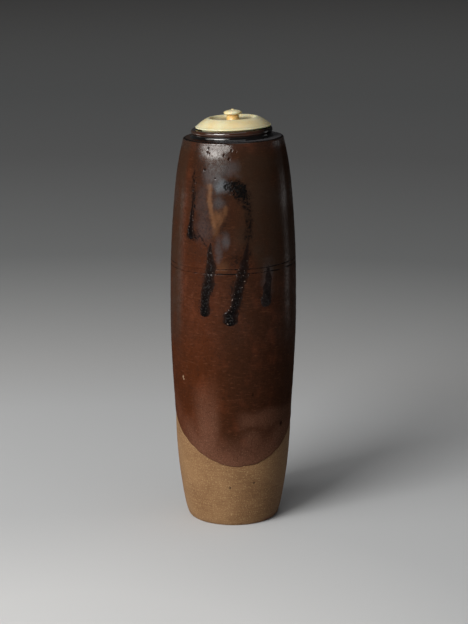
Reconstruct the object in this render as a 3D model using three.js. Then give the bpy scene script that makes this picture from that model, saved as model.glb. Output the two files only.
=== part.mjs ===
import * as THREE from "three";

// A chaire: a tall thrown stoneware tea caddy with a slanting brown glaze, black glaze runs and an ivory lid.
// Millimetres, +Z up. The front is at -Y, +X is to its right, and the origin is the middle of the foot.
// An azimuth is measured round +Z from the front, towards +X.

const degree = Math.PI / 180;

// Jar, outside
const shoulder_height = 138;
const belly_radius = 22.4;
const body_slope = 1.3 * degree;
const waist_height = 93.5;
const waist_line_spacing = 1.6;
const waist_line_width = 0.5;
const waist_line_depth = 0.22;

// Jar, inside
const wall_thickness = 3;
const floor_thickness = 4.5;
const floor_corner = 5;

// Shoulder, neck and mouth
const shoulder_corner = 1;
const shoulder_corner_angle = 15 * degree;
const shoulder_pitch = 2 * degree;
const ledge_width = 1.95;
const neck_fillet = 0.8;
const neck_height = 2.95;
const neck_shift = 0.55;
const neck_undercut = 0.3;
const lip_width = 2.3;
const lip_round = 0.8;
const lip_band = 0.3;
const mouth_slope = 2.25 * degree;
const mouth_pitch = 2.3 * degree;

// Glaze
const glaze_thickness = 0.5;
const glaze_relief = 0.3;
const fired_gap = 0.1;
const glaze_edge_round = 0.25;
const glaze_line_height = 40;
const glaze_line_swing = 16.6;
const glaze_line_wobble = 0.4;
const glaze_line_azimuth = 5 * degree;
const mouth_bare_height = 2.6;

// Black glaze runs
const run_width = 6;
const run_relief = 0.45;
const run_edge = 0.08;

// Lid
const lid_setback = 1.05;
const lid_seat_gap = 0.3;
const lid_crown_height = 3.3;
const lid_rim_height = 0.6;
const lid_rim_step = 0.45;
const lid_crest_width = 1.1;
const lid_dish_depth = 1.1;
const lid_dish_radius = 7.7;
const plug_depth = 1.6;
const plug_clearance = 1;
const plug_chamfer = 0.25;

// Knob
const peg_radius = 1.2;
const peg_clearance = 0.1;
const stem_radius = 2.15;
const stem_height = 2.15;
const stem_flare = 0.35;
const knob_radius = 3.15;
const knob_height = 1.55;
const knob_nub_radius = 0.55;
const knob_nub_height = 0.3;
const knob_seat_gap = 0.1;

// Lining
const lining_margin = 0.3;
const lining_thickness = 0.2;
const paste_gap = 0.05;

// Facets
const jar_segments = 40;
const lid_segments = 40;
const knob_segments = 24;
const arc_steps = 4;
const outline_steps = 160;
const foot_rings = 3;
const run_steps_across = 4;
const run_steps_per_stretch = 2;

// Sizes that follow from the others
const neck_top = shoulder_height + neck_height;
const waist_top = waist_height + waist_line_spacing + waist_line_width;
const glaze_level_height = (glaze_line_height + glaze_line_swing + waist_height) / 2;
const fired_inset = glaze_thickness + fired_gap;
const ceiling_height = shoulder_height - fired_inset - wall_thickness;
const wall_top = shoulder_height - 2 * shoulder_corner - wall_thickness;
const mouth_glaze_end = ceiling_height + mouth_bare_height;

// Outline of the jar over its glaze, from the foot to where the shoulder's corner begins:
// shares of the height below that corner, and of the belly's radius
const outline_shares = [
  [0, 0.71],
  [0.007, 0.739],
  [0.031, 0.783],
  [0.073, 0.829],
  [0.146, 0.889],
  [0.227, 0.926],
  [0.3, 0.936],
  [0.38, 0.966],
  [0.483, 0.994],
  [0.57, 1],
  [0.695, 0.988],
  [0.805, 0.955],
  [0.893, 0.907],
  [0.955, 0.85],
  [1, 0.79],
];

// Steps of the rings, as shares of the stretch that they divide
const bare_ring_shares = [0.25, 0.5, 0.75];
const glazed_ring_shares = [0.12, 0.34, 0.6, 1];
const shoulder_ring_shares = [0.25, 0.47, 0.65, 0.79, 0.9, 1];
const inside_ring_shares = [0.93, 0.82, 0.66, 0.48, 0.3, 0.14, 0];

// How far a run's round thick end reaches below its first row, as a share of that row's half width
const run_tip_share = 0.25;

// Routes of the black runs, from the thick end up: azimuth in degrees, share of the shoulder's height,
// share of the run's width
const left_run_shares = [
  [-41.7, 0.759, 0.27],
  [-41.7, 0.764, 0.48],
  [-41.7, 0.771, 0.56],
  [-41.8, 0.785, 0.42],
  [-42, 0.81, 0.3],
  [-42, 0.85, 0.25],
  [-42.6, 0.895, 0.18],
];
const mid_left_run_shares = [
  [-25.9, 0.566, 0.39],
  [-25.9, 0.571, 0.65],
  [-25.9, 0.581, 0.81],
  [-25.6, 0.602, 0.8],
  [-24, 0.635, 0.64],
  [-22.6, 0.68, 0.58],
  [-21.4, 0.72, 0.42],
  [-20.3, 0.76, 0.18],
];
const mid_right_run_shares = [
  [-2.2, 0.547, 0.44],
  [-2.2, 0.553, 0.78],
  [-2.2, 0.564, 0.97],
  [-1.6, 0.588, 0.94],
  [0.6, 0.62, 0.76],
  [3.4, 0.655, 0.72],
  [6, 0.7, 0.78],
  [9.5, 0.74, 0.4],
];
const right_run_shares = [
  [30.4, 0.594, 0.34],
  [30.4, 0.599, 0.58],
  [30.4, 0.609, 0.74],
  [31, 0.63, 0.78],
  [32.4, 0.68, 0.7],
  [33, 0.72, 0.5],
  [33.4, 0.76, 0.18],
];

// Outline of the jar

const outline_curve = new THREE.SplineCurve(
  outline_shares.map(
    ([height_share, radius_share]) =>
      new THREE.Vector2(radius_share * belly_radius, height_share * (shoulder_height - shoulder_corner)),
  ),
);
const outline_points = outline_curve.getPoints(outline_steps);

function outline_radius(height) {
  let step = outline_points.findIndex((point) => point.y > height);
  if (step < 0) {
    step = outline_points.length - 1;
  }
  step = Math.max(step, 1);
  const low = outline_points[step - 1];
  const high = outline_points[step];
  const share = THREE.MathUtils.clamp((height - low.y) / (high.y - low.y), 0, 1);
  return THREE.MathUtils.lerp(low.x, high.x, share);
}

const shoulder_corner_height = shoulder_height - shoulder_corner;
const ledge_radius = outline_radius(shoulder_corner_height) - shoulder_corner;
const neck_radius = ledge_radius - ledge_width - neck_fillet;
const lip_radius = neck_radius + neck_undercut;
const mouth_radius = lip_radius - lip_width;

// Height of the glaze's lower edge: the slanting cut of the dip, a little uneven
function glaze_line(azimuth) {
  const turn = azimuth - glaze_line_azimuth;
  return glaze_line_height - glaze_line_swing * Math.cos(turn) - glaze_line_wobble * Math.sin(2 * turn);
}

// How far up a stretch a height is, from 0 to 1
function share_between(bottom, top, height) {
  return THREE.MathUtils.clamp((height - bottom) / (top - bottom), 0, 1);
}

// How far the level rings of the jar rise towards +X at a height: not at the foot, most at the mouth
function slope_at(height) {
  const slope = body_slope * share_between(0, waist_height, height);
  return THREE.MathUtils.lerp(slope, mouth_slope, share_between(shoulder_height, neck_top, height));
}

// How far they rise towards the front: not up to the waist, most at the mouth
function pitch_at(height) {
  const pitch = shoulder_pitch * share_between(waist_height, shoulder_height, height);
  return THREE.MathUtils.lerp(pitch, mouth_pitch, share_between(shoulder_height, neck_top, height));
}

// How far the neck and the mouth stand to the left of the jar's middle
function shift_at(radius, height) {
  const inward = THREE.MathUtils.clamp((ledge_radius - radius) / ledge_width, 0, 1);
  return neck_shift * inward * share_between(wall_top, ceiling_height, height);
}

// Rings and skins

// A point of the jar in space
function jar_point(azimuth, radius, height) {
  const x = radius * Math.sin(azimuth) - shift_at(radius, height);
  const y = -radius * Math.cos(azimuth);
  return new THREE.Vector3(x, y, height + x * Math.tan(slope_at(height)) - y * Math.tan(pitch_at(height)));
}

// A row of points round the jar from a function that gives [radius, height] at an azimuth
function jar_ring(radius_and_height) {
  return Array.from({ length: jar_segments }, (_, step) => {
    const azimuth = (step * 2 * Math.PI) / jar_segments;
    return jar_point(azimuth, ...radius_and_height(azimuth));
  });
}

// Level rings through the points of a profile, each an x radius and a y height
function turned_rows(profile, segments) {
  return profile.map(({ x, y }) => {
    if (x === 0) {
      return [new THREE.Vector3(0, 0, y)];
    }
    return Array.from({ length: segments }, (_, step) => {
      const azimuth = (step * 2 * Math.PI) / segments;
      return new THREE.Vector3(x * Math.sin(azimuth), -x * Math.cos(azimuth), y);
    });
  });
}

// A closed skin over rows of points. It ends in a point where the first and last rows have one point,
// and otherwise the last row joins the first.
function skin_geometry(rows) {
  const positions = [];
  const starts = [];
  for (const row of rows) {
    starts.push(positions.length / 3);
    row.forEach((point) => positions.push(...point.toArray()));
  }
  const index = [];
  const bands = rows[0].length === 1 ? rows.length - 1 : rows.length;
  for (let band = 0; band < bands; band += 1) {
    const next = (band + 1) % rows.length;
    const count = Math.max(rows[band].length, rows[next].length);
    for (let step = 0; step < count; step += 1) {
      const turn = (step + 1) % count;
      const low_left = starts[band] + (step % rows[band].length);
      const low_right = starts[band] + (turn % rows[band].length);
      const high_left = starts[next] + (step % rows[next].length);
      const high_right = starts[next] + (turn % rows[next].length);
      if (rows[band].length > 1) {
        index.push(low_left, low_right, high_right);
      }
      if (rows[next].length > 1) {
        index.push(low_left, high_right, high_left);
      }
    }
  }
  const geometry = new THREE.BufferGeometry();
  geometry.setAttribute("position", new THREE.Float32BufferAttribute(positions, 3));
  geometry.setIndex(index);
  geometry.computeVertexNormals();
  return geometry;
}

// Profiles of the jar. An inset is a distance in from the face of the glaze.

// Heights of the level rings between the dipped edge and the shoulder, each with the depth of any line cut there
function level_stations() {
  const stations = [[(glaze_level_height + waist_height) / 2, 0]];
  for (const line of [waist_height, waist_height + waist_line_spacing]) {
    stations.push([line - waist_line_width / 2, 0]);
    stations.push([line, waist_line_depth]);
    stations.push([line + waist_line_width / 2, 0]);
  }
  for (const share of shoulder_ring_shares) {
    stations.push([THREE.MathUtils.lerp(waist_top, shoulder_corner_height, share), 0]);
  }
  return stations;
}

// Rings up the outside from just over the dipped edge to the shoulder's corner
function glazed_side(inset, with_lines) {
  const rings = glazed_ring_shares.map((share) =>
    jar_ring((azimuth) => {
      const height = THREE.MathUtils.lerp(glaze_line(azimuth), glaze_level_height, share);
      return [outline_radius(height) - inset, height];
    }),
  );
  for (const [height, line_depth] of level_stations()) {
    const depth = with_lines ? line_depth : 0;
    rings.push(jar_ring(() => [outline_radius(height) - inset - depth, height]));
  }
  return rings;
}

// Profile over the shoulder's corner, across the ledge, up the neck and over the lip to the inside of the mouth
function neck_profile(inset) {
  const lip_x = lip_radius - lip_round;
  const lip_y = neck_top - lip_round;
  const edge_round = lip_round - inset;
  const undercut_angle = Math.acos((edge_round - neck_undercut) / edge_round);
  const path = new THREE.Path();
  path.absarc(ledge_radius, shoulder_corner_height, shoulder_corner - inset, shoulder_corner_angle, 90 * degree);
  path.absarc(
    neck_radius + neck_fillet,
    shoulder_height + neck_fillet,
    neck_fillet + inset,
    270 * degree,
    180 * degree,
    true,
  );
  path.absarc(lip_x, lip_y - lip_band, edge_round, -undercut_angle, 0);
  path.absarc(lip_x, lip_y, edge_round, 0, 90 * degree);
  path.absarc(mouth_radius + lip_round, lip_y, edge_round, 90 * degree, 180 * degree);
  return path.getPoints(arc_steps / 2);
}

function neck_rings(inset) {
  return neck_profile(inset).map(({ x, y }) => jar_ring(() => [x, y]));
}

// Clay

// Clay seen inside the jar, from the end of the glaze in the mouth down to the floor
function clay_inside() {
  const bare_inset = glaze_relief + wall_thickness;
  const bore = mouth_radius + glaze_relief;
  const bare_top = mouth_glaze_end - fired_gap;
  const wall_bottom = floor_thickness + floor_corner;
  const rings = [
    jar_ring(() => [mouth_radius + fired_inset, bare_top]),
    jar_ring(() => [bore, bare_top]),
    jar_ring(() => [bore, ceiling_height]),
  ];
  for (const share of inside_ring_shares) {
    const height = THREE.MathUtils.lerp(wall_bottom, wall_top, share);
    rings.push(jar_ring(() => [outline_radius(height) - bare_inset, height]));
  }
  const corner_x = outline_radius(wall_bottom) - bare_inset - floor_corner;
  for (let step = 1; step <= arc_steps; step += 1) {
    const angle = (step / arc_steps) * (Math.PI / 2);
    rings.push(
      jar_ring(() => [corner_x + floor_corner * Math.cos(angle), wall_bottom - floor_corner * Math.sin(angle)]),
    );
  }
  rings.push([jar_point(0, 0, floor_thickness)]);
  return rings;
}

function clay_body_geometry() {
  const foot_heights = outline_shares.slice(0, foot_rings).map(([share]) => share * shoulder_corner_height);
  const foot_top = foot_heights[foot_heights.length - 1];
  const bare = (height) => outline_radius(height) - glaze_relief;
  const rows = [[jar_point(0, 0, 0)]];
  for (const height of foot_heights) {
    rows.push(jar_ring(() => [bare(height), height]));
  }
  for (const share of bare_ring_shares) {
    rows.push(
      jar_ring((azimuth) => {
        const height = THREE.MathUtils.lerp(foot_top, glaze_line(azimuth), share);
        return [bare(height), height];
      }),
    );
  }
  for (const inset of [glaze_relief, fired_inset]) {
    rows.push(
      jar_ring((azimuth) => {
        const height = glaze_line(azimuth) - fired_gap;
        return [outline_radius(height) - inset, height];
      }),
    );
  }
  rows.push(...glazed_side(fired_inset, false), ...neck_rings(fired_inset), ...clay_inside());
  return skin_geometry(rows);
}

// Glaze

function glaze_coat_geometry() {
  const edge_ring = (inset, lift) =>
    jar_ring((azimuth) => {
      const height = glaze_line(azimuth) + lift;
      return [outline_radius(height) - inset, height];
    });
  const outside = [
    edge_ring(glaze_edge_round, 0),
    edge_ring(0, glaze_edge_round),
    ...glazed_side(0, true),
    ...neck_rings(0),
    jar_ring(() => [mouth_radius, mouth_glaze_end]),
  ];
  const inside = [
    edge_ring(glaze_thickness, 0),
    ...glazed_side(glaze_thickness, false),
    ...neck_rings(glaze_thickness),
    jar_ring(() => [mouth_radius + glaze_thickness, mouth_glaze_end]),
  ];
  return skin_geometry([...outside, ...inside.reverse()]);
}

// A run of black glaze: a bead that follows its route over the brown glaze
function glaze_run_geometry(route_shares) {
  const route = new THREE.CatmullRomCurve3(
    route_shares.map(
      ([turn, height_share, width_share]) =>
        new THREE.Vector3(turn * degree, height_share * shoulder_height, (width_share * run_width) / 2),
    ),
    false,
    "catmullrom",
  );
  const surface_point = (turn, height, across, lift) => {
    const radius = outline_radius(height) + fired_gap + lift;
    return jar_point(turn + across / outline_radius(height), radius, height);
  };
  const stations = route.getPoints(run_steps_per_stretch * (route_shares.length - 1));
  const widest = Math.max(...stations.map((station) => station.z));
  const rows = stations.map(({ x: turn, y: height, z: half_width }) => {
    const outside = [];
    const inside = [];
    for (let step = 0; step <= run_steps_across; step += 1) {
      const share = (2 * step) / run_steps_across - 1;
      const bulge = Math.sqrt(1 - share * share) * (half_width / widest);
      outside.push(surface_point(turn, height, share * half_width, run_edge + run_relief * bulge));
      inside.push(surface_point(turn, height, share * half_width, 0));
    }
    return [...outside, ...inside.reverse()];
  });
  const end_point = (station, reach_share) => [
    surface_point(station.x, station.y + reach_share * station.z, 0, run_edge / 2),
  ];
  const thick_end = end_point(stations[0], -run_tip_share);
  const thin_end = end_point(stations[stations.length - 1], 1);
  return skin_geometry([thick_end, ...rows, thin_end]);
}

// Lid, about the middle of its flat underside

const lid_radius = lip_radius - lid_setback;
const plug_radius = mouth_radius - plug_clearance;
const dish_height = lid_crown_height - lid_dish_depth;

function lid_geometry() {
  const shoulder_x = lid_radius - lid_rim_step;
  const crest_outside = lid_dish_radius + lid_crest_width;
  const hole_radius = peg_radius + peg_clearance;
  const path = new THREE.Path();
  path.moveTo(hole_radius, -plug_depth);
  path.lineTo(plug_radius - plug_chamfer, -plug_depth);
  path.lineTo(plug_radius, plug_chamfer - plug_depth);
  path.lineTo(plug_radius, 0);
  path.lineTo(lid_radius - lid_rim_height / 2, 0);
  path.absarc(lid_radius - lid_rim_height / 2, lid_rim_height / 2, lid_rim_height / 2, -90 * degree, 90 * degree);
  path.lineTo(shoulder_x, lid_rim_height);
  path.quadraticCurveTo(
    (shoulder_x + crest_outside) / 2,
    (lid_rim_height + lid_crown_height) / 2 + lid_rim_height,
    crest_outside,
    lid_crown_height,
  );
  path.lineTo(lid_dish_radius + lid_crest_width / 2, lid_crown_height);
  path.quadraticCurveTo(lid_dish_radius, dish_height, lid_dish_radius - lid_crest_width, dish_height);
  path.lineTo(hole_radius, dish_height);
  return skin_geometry(turned_rows(path.getPoints(arc_steps), lid_segments));
}

function knob_geometry() {
  const seat = dish_height + knob_seat_gap;
  const under = dish_height + stem_height;
  const top = under + knob_height;
  const path = new THREE.Path();
  path.moveTo(0, -plug_depth);
  path.lineTo(peg_radius, -plug_depth);
  path.lineTo(peg_radius, seat);
  path.lineTo(stem_radius + stem_flare, seat);
  path.quadraticCurveTo(stem_radius, seat + stem_flare, stem_radius, under - stem_flare);
  path.lineTo((stem_radius + knob_radius) / 2, under);
  path.quadraticCurveTo(knob_radius, under, knob_radius, under + knob_height / 3);
  path.quadraticCurveTo(knob_radius, top - knob_height / 6, knob_nub_radius, top);
  path.quadraticCurveTo(knob_nub_radius, top + knob_nub_height, 0, top + knob_nub_height);
  return skin_geometry(turned_rows(path.getPoints(arc_steps), knob_segments));
}

function lining_geometry() {
  const radius = plug_radius - plug_chamfer - lining_margin;
  const top = -plug_depth - paste_gap;
  const profile = [
    new THREE.Vector2(0, top - lining_thickness),
    new THREE.Vector2(radius, top - lining_thickness),
    new THREE.Vector2(radius, top),
    new THREE.Vector2(0, top),
  ];
  return skin_geometry(turned_rows(profile, lid_segments));
}

// Assembly

function piece(name, geometry, color, roughness, metalness = 0) {
  const mesh = new THREE.Mesh(geometry, new THREE.MeshStandardMaterial({ color, roughness, metalness }));
  mesh.name = name;
  return mesh;
}

function jar_group() {
  const jar = new THREE.Group();
  const run = (name, route_shares) => piece(name, glaze_run_geometry(route_shares), 0x120e0d, 0.2);
  jar.add(
    piece("clay_body", clay_body_geometry(), 0x91704b, 0.9),
    piece("brown_glaze_coat", glaze_coat_geometry(), 0x4a2a1f, 0.3),
    run("glaze_run_left", left_run_shares),
    run("glaze_run_mid_left", mid_left_run_shares),
    run("glaze_run_mid_right", mid_right_run_shares),
    run("glaze_run_right", right_run_shares),
  );
  return jar;
}

function lid_group() {
  const lid = new THREE.Group();
  lid.add(piece("lid", lid_geometry(), 0xe1d7aa, 0.35));
  lid.add(piece("lid_knob", knob_geometry(), 0xe6d3a0, 0.35));
  lid.add(piece("lid_lining", lining_geometry(), 0xc79a3b, 0.4, 0.6));
  lid.rotation.set(-mouth_pitch, -mouth_slope, 0);
  lid.position.set(0, 0, neck_top + lid_seat_gap);
  return lid;
}

const chaire = new THREE.Group();
chaire.add(jar_group(), lid_group());

export default chaire;
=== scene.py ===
"""A chaire: a tall thrown stoneware tea caddy with a slanting brown glaze, black glaze runs and an ivory lid.

Metres, +Z up. The front is at -Y, +X is to its right, and the origin is the middle of the foot. An azimuth is measured
round +Z from the front, towards +X. A height is measured up the jar's axis.
"""

import math

import bpy
import numpy as np
from bpy.props import FloatProperty, FloatVectorProperty, PointerProperty
from bpy.types import Operator, Panel, PropertyGroup
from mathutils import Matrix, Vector


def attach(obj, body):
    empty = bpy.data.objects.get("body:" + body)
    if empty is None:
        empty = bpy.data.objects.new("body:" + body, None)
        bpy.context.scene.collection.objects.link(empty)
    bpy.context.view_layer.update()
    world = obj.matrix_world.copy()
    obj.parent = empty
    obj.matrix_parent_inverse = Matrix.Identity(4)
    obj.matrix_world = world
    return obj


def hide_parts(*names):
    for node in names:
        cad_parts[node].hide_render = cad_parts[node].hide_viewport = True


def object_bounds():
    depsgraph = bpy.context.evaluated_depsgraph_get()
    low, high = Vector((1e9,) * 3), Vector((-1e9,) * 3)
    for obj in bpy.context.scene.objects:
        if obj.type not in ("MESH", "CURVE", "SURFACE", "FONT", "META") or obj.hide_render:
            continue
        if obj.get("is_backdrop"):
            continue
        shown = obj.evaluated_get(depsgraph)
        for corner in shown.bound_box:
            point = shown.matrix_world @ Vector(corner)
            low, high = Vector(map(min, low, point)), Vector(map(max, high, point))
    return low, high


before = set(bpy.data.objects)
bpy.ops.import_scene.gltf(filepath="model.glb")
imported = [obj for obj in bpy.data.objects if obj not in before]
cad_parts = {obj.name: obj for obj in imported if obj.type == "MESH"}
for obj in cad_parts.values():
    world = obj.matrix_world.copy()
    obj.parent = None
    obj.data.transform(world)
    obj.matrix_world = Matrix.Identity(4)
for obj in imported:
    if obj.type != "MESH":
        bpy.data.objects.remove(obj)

CAD_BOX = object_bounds()

bl_info = {
    "name": "Chaire tea caddy",
    "version": (1, 0, 0),
    "blender": (4, 5, 0),
    "location": "View3D > Sidebar > Chaire",
    "description": "Dresses the packed frame of a glazed tea caddy with an ivory lid",
    "category": "Add Mesh",
}

MM = 0.001
FULL_TURN = 2 * math.pi
QUARTER_TURN = math.pi / 2


# Sizes and colours


def chip(red, green, blue):
    """A paint chip's colour, given from 0 to 255 as a screen shows it, as light."""
    shares = [value / 255 for value in (red, green, blue)]
    return tuple(s / 12.92 if s <= 0.04045 else ((s + 0.055) / 1.055) ** 2.4 for s in shares)


def length(name, description, default):
    return FloatProperty(name=name, description=description, default=default * MM, min=0, unit="LENGTH", precision=5)


def angle(name, description, default):
    return FloatProperty(name=name, description=description, default=math.radians(default), subtype="ANGLE")


def amount(name, description, default):
    return FloatProperty(name=name, description=description, default=default, min=0)


def colour(name, description, default):
    return FloatVectorProperty(
        name=name, description=description, default=chip(*default), subtype="COLOR", size=3, min=0, max=1
    )


class ChaireJarSizes(PropertyGroup):
    shoulder_height: length("Shoulder height", "Height of the flat ledge round the neck", 138)
    belly_radius: length("Belly radius", "Radius of the widest part, over the glaze", 22.4)
    body_slope: angle("Body slope", "How far the throwing rings rise towards the right at the waist", 1.3)
    waist_height: length("Waist height", "Height of the lower of the two lines cut round the waist", 93.5)
    waist_line_spacing: length("Line spacing", "Distance between the two lines", 1.6)
    waist_line_width: length("Line width", "Width of each line", 0.5)
    waist_line_depth: length("Line depth", "Depth of each line", 0.22)
    wall_thickness: length("Wall", "Thickness of the clay wall", 3)
    floor_thickness: length("Floor", "Thickness of the clay floor", 4.5)
    floor_corner: length("Floor corner", "Radius where the wall meets the floor inside", 5)
    shoulder_corner: length("Shoulder corner", "Radius of the shoulder's edge", 1)
    shoulder_pitch: angle("Shoulder pitch", "How far the shoulder's edge rises towards the front", 2)
    ledge_width: length("Ledge", "Width of the flat ledge round the neck", 1.95)
    neck_fillet: length("Neck fillet", "Radius where the neck leaves the ledge", 0.8)
    neck_height: length("Neck height", "Height of the lip over the ledge", 2.95)
    neck_shift: length("Neck shift", "How far the neck stands to the left of the jar's middle", 0.55)
    neck_undercut: length("Undercut", "How far the neck is drawn in under the lip", 0.3)
    lip_width: length("Lip", "Thickness of the rolled lip", 2.3)
    lip_round: length("Lip round", "Radius of the lip's edges", 0.8)
    lip_band: length("Lip band", "Height of the upright part of the lip", 0.3)
    mouth_slope: angle("Mouth slope", "How far the mouth and the lid rise towards the right", 2.25)
    mouth_pitch: angle("Mouth pitch", "How far the mouth and the lid rise towards the front", 2.3)
    throwing_depth: length("Throwing rings", "Depth of the rings left by the potter's fingers", 0.07)
    lump_depth: length("Lumps", "Depth of the broad unevenness of the wall", 0.1)
    finger_swing: length("Finger marks", "How far the finger marks swing into and out of the wall inside", 0.25)
    finger_pitch: length("Finger pitch", "Distance from one finger mark to the next", 5.2)
    foot_rise: length("Foot rise", "How far the underside rises within the foot's edge", 0.2)
    swirl_swing: length("Swirl", "How far the swirl on the floor inside swings up and down", 0.2)
    pit_depth: length("Clay pits", "Depth of the dark pits in the bare clay", 0.25)


class ChaireGlazeSizes(PropertyGroup):
    thickness: length("Thickness", "Thickness of the brown glaze", 0.5)
    relief: length("Relief", "How far the glaze stands out from the bare clay", 0.3)
    fired_gap: length("Fired gap", "Hair line between the glaze and the clay", 0.1)
    edge_round: length("Edge", "Radius of the glaze's lower edge", 0.25)
    line_height: length("Dip height", "Mean height of the dipped edge", 40)
    line_swing: length("Dip swing", "How far the slanting edge falls in front", 16.6)
    line_wobble: length("Dip wobble", "Unevenness of the slanting edge", 0.4)
    line_azimuth: angle("Dip azimuth", "Where the edge is lowest", 5)
    mouth_bare_height: length("Bare height", "Height of bare clay over the ceiling, inside the mouth", 2.6)
    pinhole_depth: length("Pinholes", "Depth of the pinholes", 0.3)
    crust_depth: length("Crust", "Depth of the pits in the dark crust under the shoulder", 0.16)
    run_width: length("Run width", "Width of the widest black run", 6)
    run_relief: length("Run relief", "How far a run's thick end stands out", 0.42)


class ChaireLidSizes(PropertyGroup):
    setback: length("Setback", "How much smaller the lid's radius is than the lip's", 1.05)
    seat_gap: length("Seat gap", "Distance from the lip to the lid's underside", 0.3)
    crown_height: length("Crown", "Height of the lid's crest", 3.3)
    rim_height: length("Rim height", "Height of the lid's bead rim", 0.6)
    rim_step: length("Rim step", "Width of the bead rim", 0.45)
    crest_width: length("Crest", "Width of the crest round the dish", 1.1)
    dish_depth: length("Dish depth", "Depth of the dish in the lid's top", 1.1)
    dish_radius: length("Dish radius", "Radius of the dish", 7.7)
    plug_depth: length("Plug", "Depth of the plug that drops into the mouth", 1.6)
    plug_clearance: length("Plug clearance", "Gap between the plug and the mouth", 1)
    plug_chamfer: length("Plug chamfer", "Size of the plug's turned edge", 0.25)
    peg_radius: length("Peg", "Radius of the knob's peg", 1.2)
    peg_clearance: length("Peg clearance", "Gap between the peg and its hole", 0.1)
    stem_radius: length("Stem", "Radius of the knob's stem", 2.15)
    stem_height: length("Stem height", "Height of the knob's stem", 2.15)
    stem_flare: length("Stem flare", "Flare at the stem's foot", 0.35)
    knob_radius: length("Knob", "Radius of the knob", 3.15)
    knob_height: length("Knob height", "Height of the knob over its stem", 1.55)
    nub_radius: length("Nub", "Radius of the nub on the knob", 0.55)
    nub_height: length("Nub height", "Height of the nub on the knob", 0.3)
    knob_seat_gap: length("Knob seat gap", "Distance from the dish to the stem's foot", 0.1)
    lining_margin: length("Lining margin", "Bare ring round the lining", 0.3)
    lining_thickness: length("Lining", "Thickness of the gold-leafed paper", 0.2)
    paste_gap: length("Paste", "Thickness of the paste", 0.05)


class ChaireJarColours(PropertyGroup):
    clay: colour("Clay", "Fired clay", (127, 96, 64))
    # Also the colour of the painted shade on the clay's right side
    dark_clay_and_painted_shade: colour("Clay shade", "Fired clay where it took more iron", (110, 79, 50))
    clay_flash: colour("Clay flash", "Reddish scorch at the foot's edge", (74, 30, 23))
    red_glaze: colour("Red-brown glaze", "Iron glaze where it fired red", (65, 31, 15))
    olive_glaze: colour("Olive-brown glaze", "Iron glaze where it stayed thick", (51, 28, 17))
    rust_glaze: colour("Rust glaze", "Rust streaks under the shoulder", (98, 67, 44))
    # Also the colour of the painted sheen under the shoulder and of the painted reflection on the ledge
    milk_and_sheen_glaze: colour("Milky glaze", "Bluish white bloom", (92, 97, 102))
    # Also the colour of the painted sheen on the belly at the front left
    plum_and_sheen_glaze: colour("Plum glaze", "Purple-brown pool over the dipped edge", (93, 62, 48))
    # Also the colour of painted shade on the wall's left flank and right side
    wash_and_shade_glaze: colour("Wash", "The second glaze where it lies thinly over the brown", (44, 33, 25))
    black_glaze: colour("Black glaze", "The second glaze", (8, 7, 7))
    violet_glaze: colour("Violet glaze", "The second glaze with a violet cloud in it", (30, 22, 25))
    thin_glaze: colour("Thin glaze", "The second glaze at the edges of its runs", (40, 25, 19))


class ChaireLidColours(PropertyGroup):
    ivory: colour("Ivory", "Turned ivory", (211, 207, 174))
    patina: colour("Patina", "Ivory yellowed by hands", (206, 186, 130))
    honey: colour("Honey", "Warm stem of the knob", (216, 174, 100))
    # Painted shade: the colour that darkens the lid's dish, the groove by its rim and the corner round the knob's stem
    painted_hollow_shade: colour("Grime", "Old dust in the dish and the corners", (124, 92, 38))
    gold_leaf: colour("Gold leaf", "Gold leaf on the lining", (226, 178, 84))
    paper: colour("Paper", "Paper where the leaf is worn", (186, 158, 112))


class ChaireStage(PropertyGroup):
    camera_distance: length("Camera distance", "Distance in front of the jar", 741.8)
    camera_height: length("Camera height", "Height over the floor", 265.2)
    camera_side: length("Camera side", "Distance to the right", 0.25)
    camera_pitch: angle("Camera pitch", "How far the camera looks down", 14.41)
    camera_lens: amount("Lens", "Focal length in millimetres on a 36 mm sensor", 124.3)
    floor_front: colour("Front floor", "Floor in front of the jar", (208, 209, 210))
    floor: colour("Floor", "Floor round the jar", (193, 195, 197))
    floor_behind: colour("Floor behind", "Floor a hand's breadth behind the jar", (184, 185, 186))
    floor_dim: colour("Dim floor", "Floor where the light falls away", (143, 145, 146))
    floor_far: colour("Far floor", "Floor far behind", (136, 137, 138))
    floor_end: colour("End of the floor", "Floor at the top of the picture", (176, 176, 176))
    backdrop: colour("Backdrop", "What lies behind the floor", (64, 64, 64))
    key_light: amount("Key light", "Brightness of the middle of the soft light at the left", 12.0)
    wide_light: amount("Wide light", "Brightness of the soft light's wide screen", 1.5)
    side_strip: amount("Side strip", "Brightness of the soft light's long low edge", 13.5)
    low_card: amount("Low card", "Brightness of the card under the soft light", 0.9)
    front_fill: amount("Front light", "Brightness of the light over the camera", 1.05)
    room: amount("Room", "Brightness of the room", 0.02)
    left_card: amount("Left card", "Brightness of the small white card at the left", 1.25)
    right_card: amount("Right card", "Brightness of the small white card at the right", 1.5)
    far_right_card: amount("Far right card", "Brightness of the white card farther off at the right", 0.33)
    back_card: amount("Back card", "Brightness of the white card behind", 0.4)


GROUPS = {
    "chaire_jar": ChaireJarSizes,
    "chaire_glaze": ChaireGlazeSizes,
    "chaire_lid": ChaireLidSizes,
    "chaire_jar_colours": ChaireJarColours,
    "chaire_lid_colours": ChaireLidColours,
    "chaire_stage": ChaireStage,
}


# Fixed numbers and tables

# Points round each piece, and across a run
CLAY_COLUMNS = 240
GLAZE_COLUMNS = 320
LID_COLUMNS = 220
KNOB_COLUMNS = 96
LINING_COLUMNS = 140
FLOOR_COLUMNS = 96
RUN_COLUMNS = 19

# Heights of the rings at the foot's edge, and where the shoulder's throwing rings grow faint
FOOT_RINGS = np.array([0, 0.12, 0.3, 0.55, 0.85, 1.2]) * MM
CALM_SHOULDER = 118 * MM

# How far the wall leans in where the shoulder's corner begins
SHOULDER_LEAN = math.radians(13)

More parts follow.
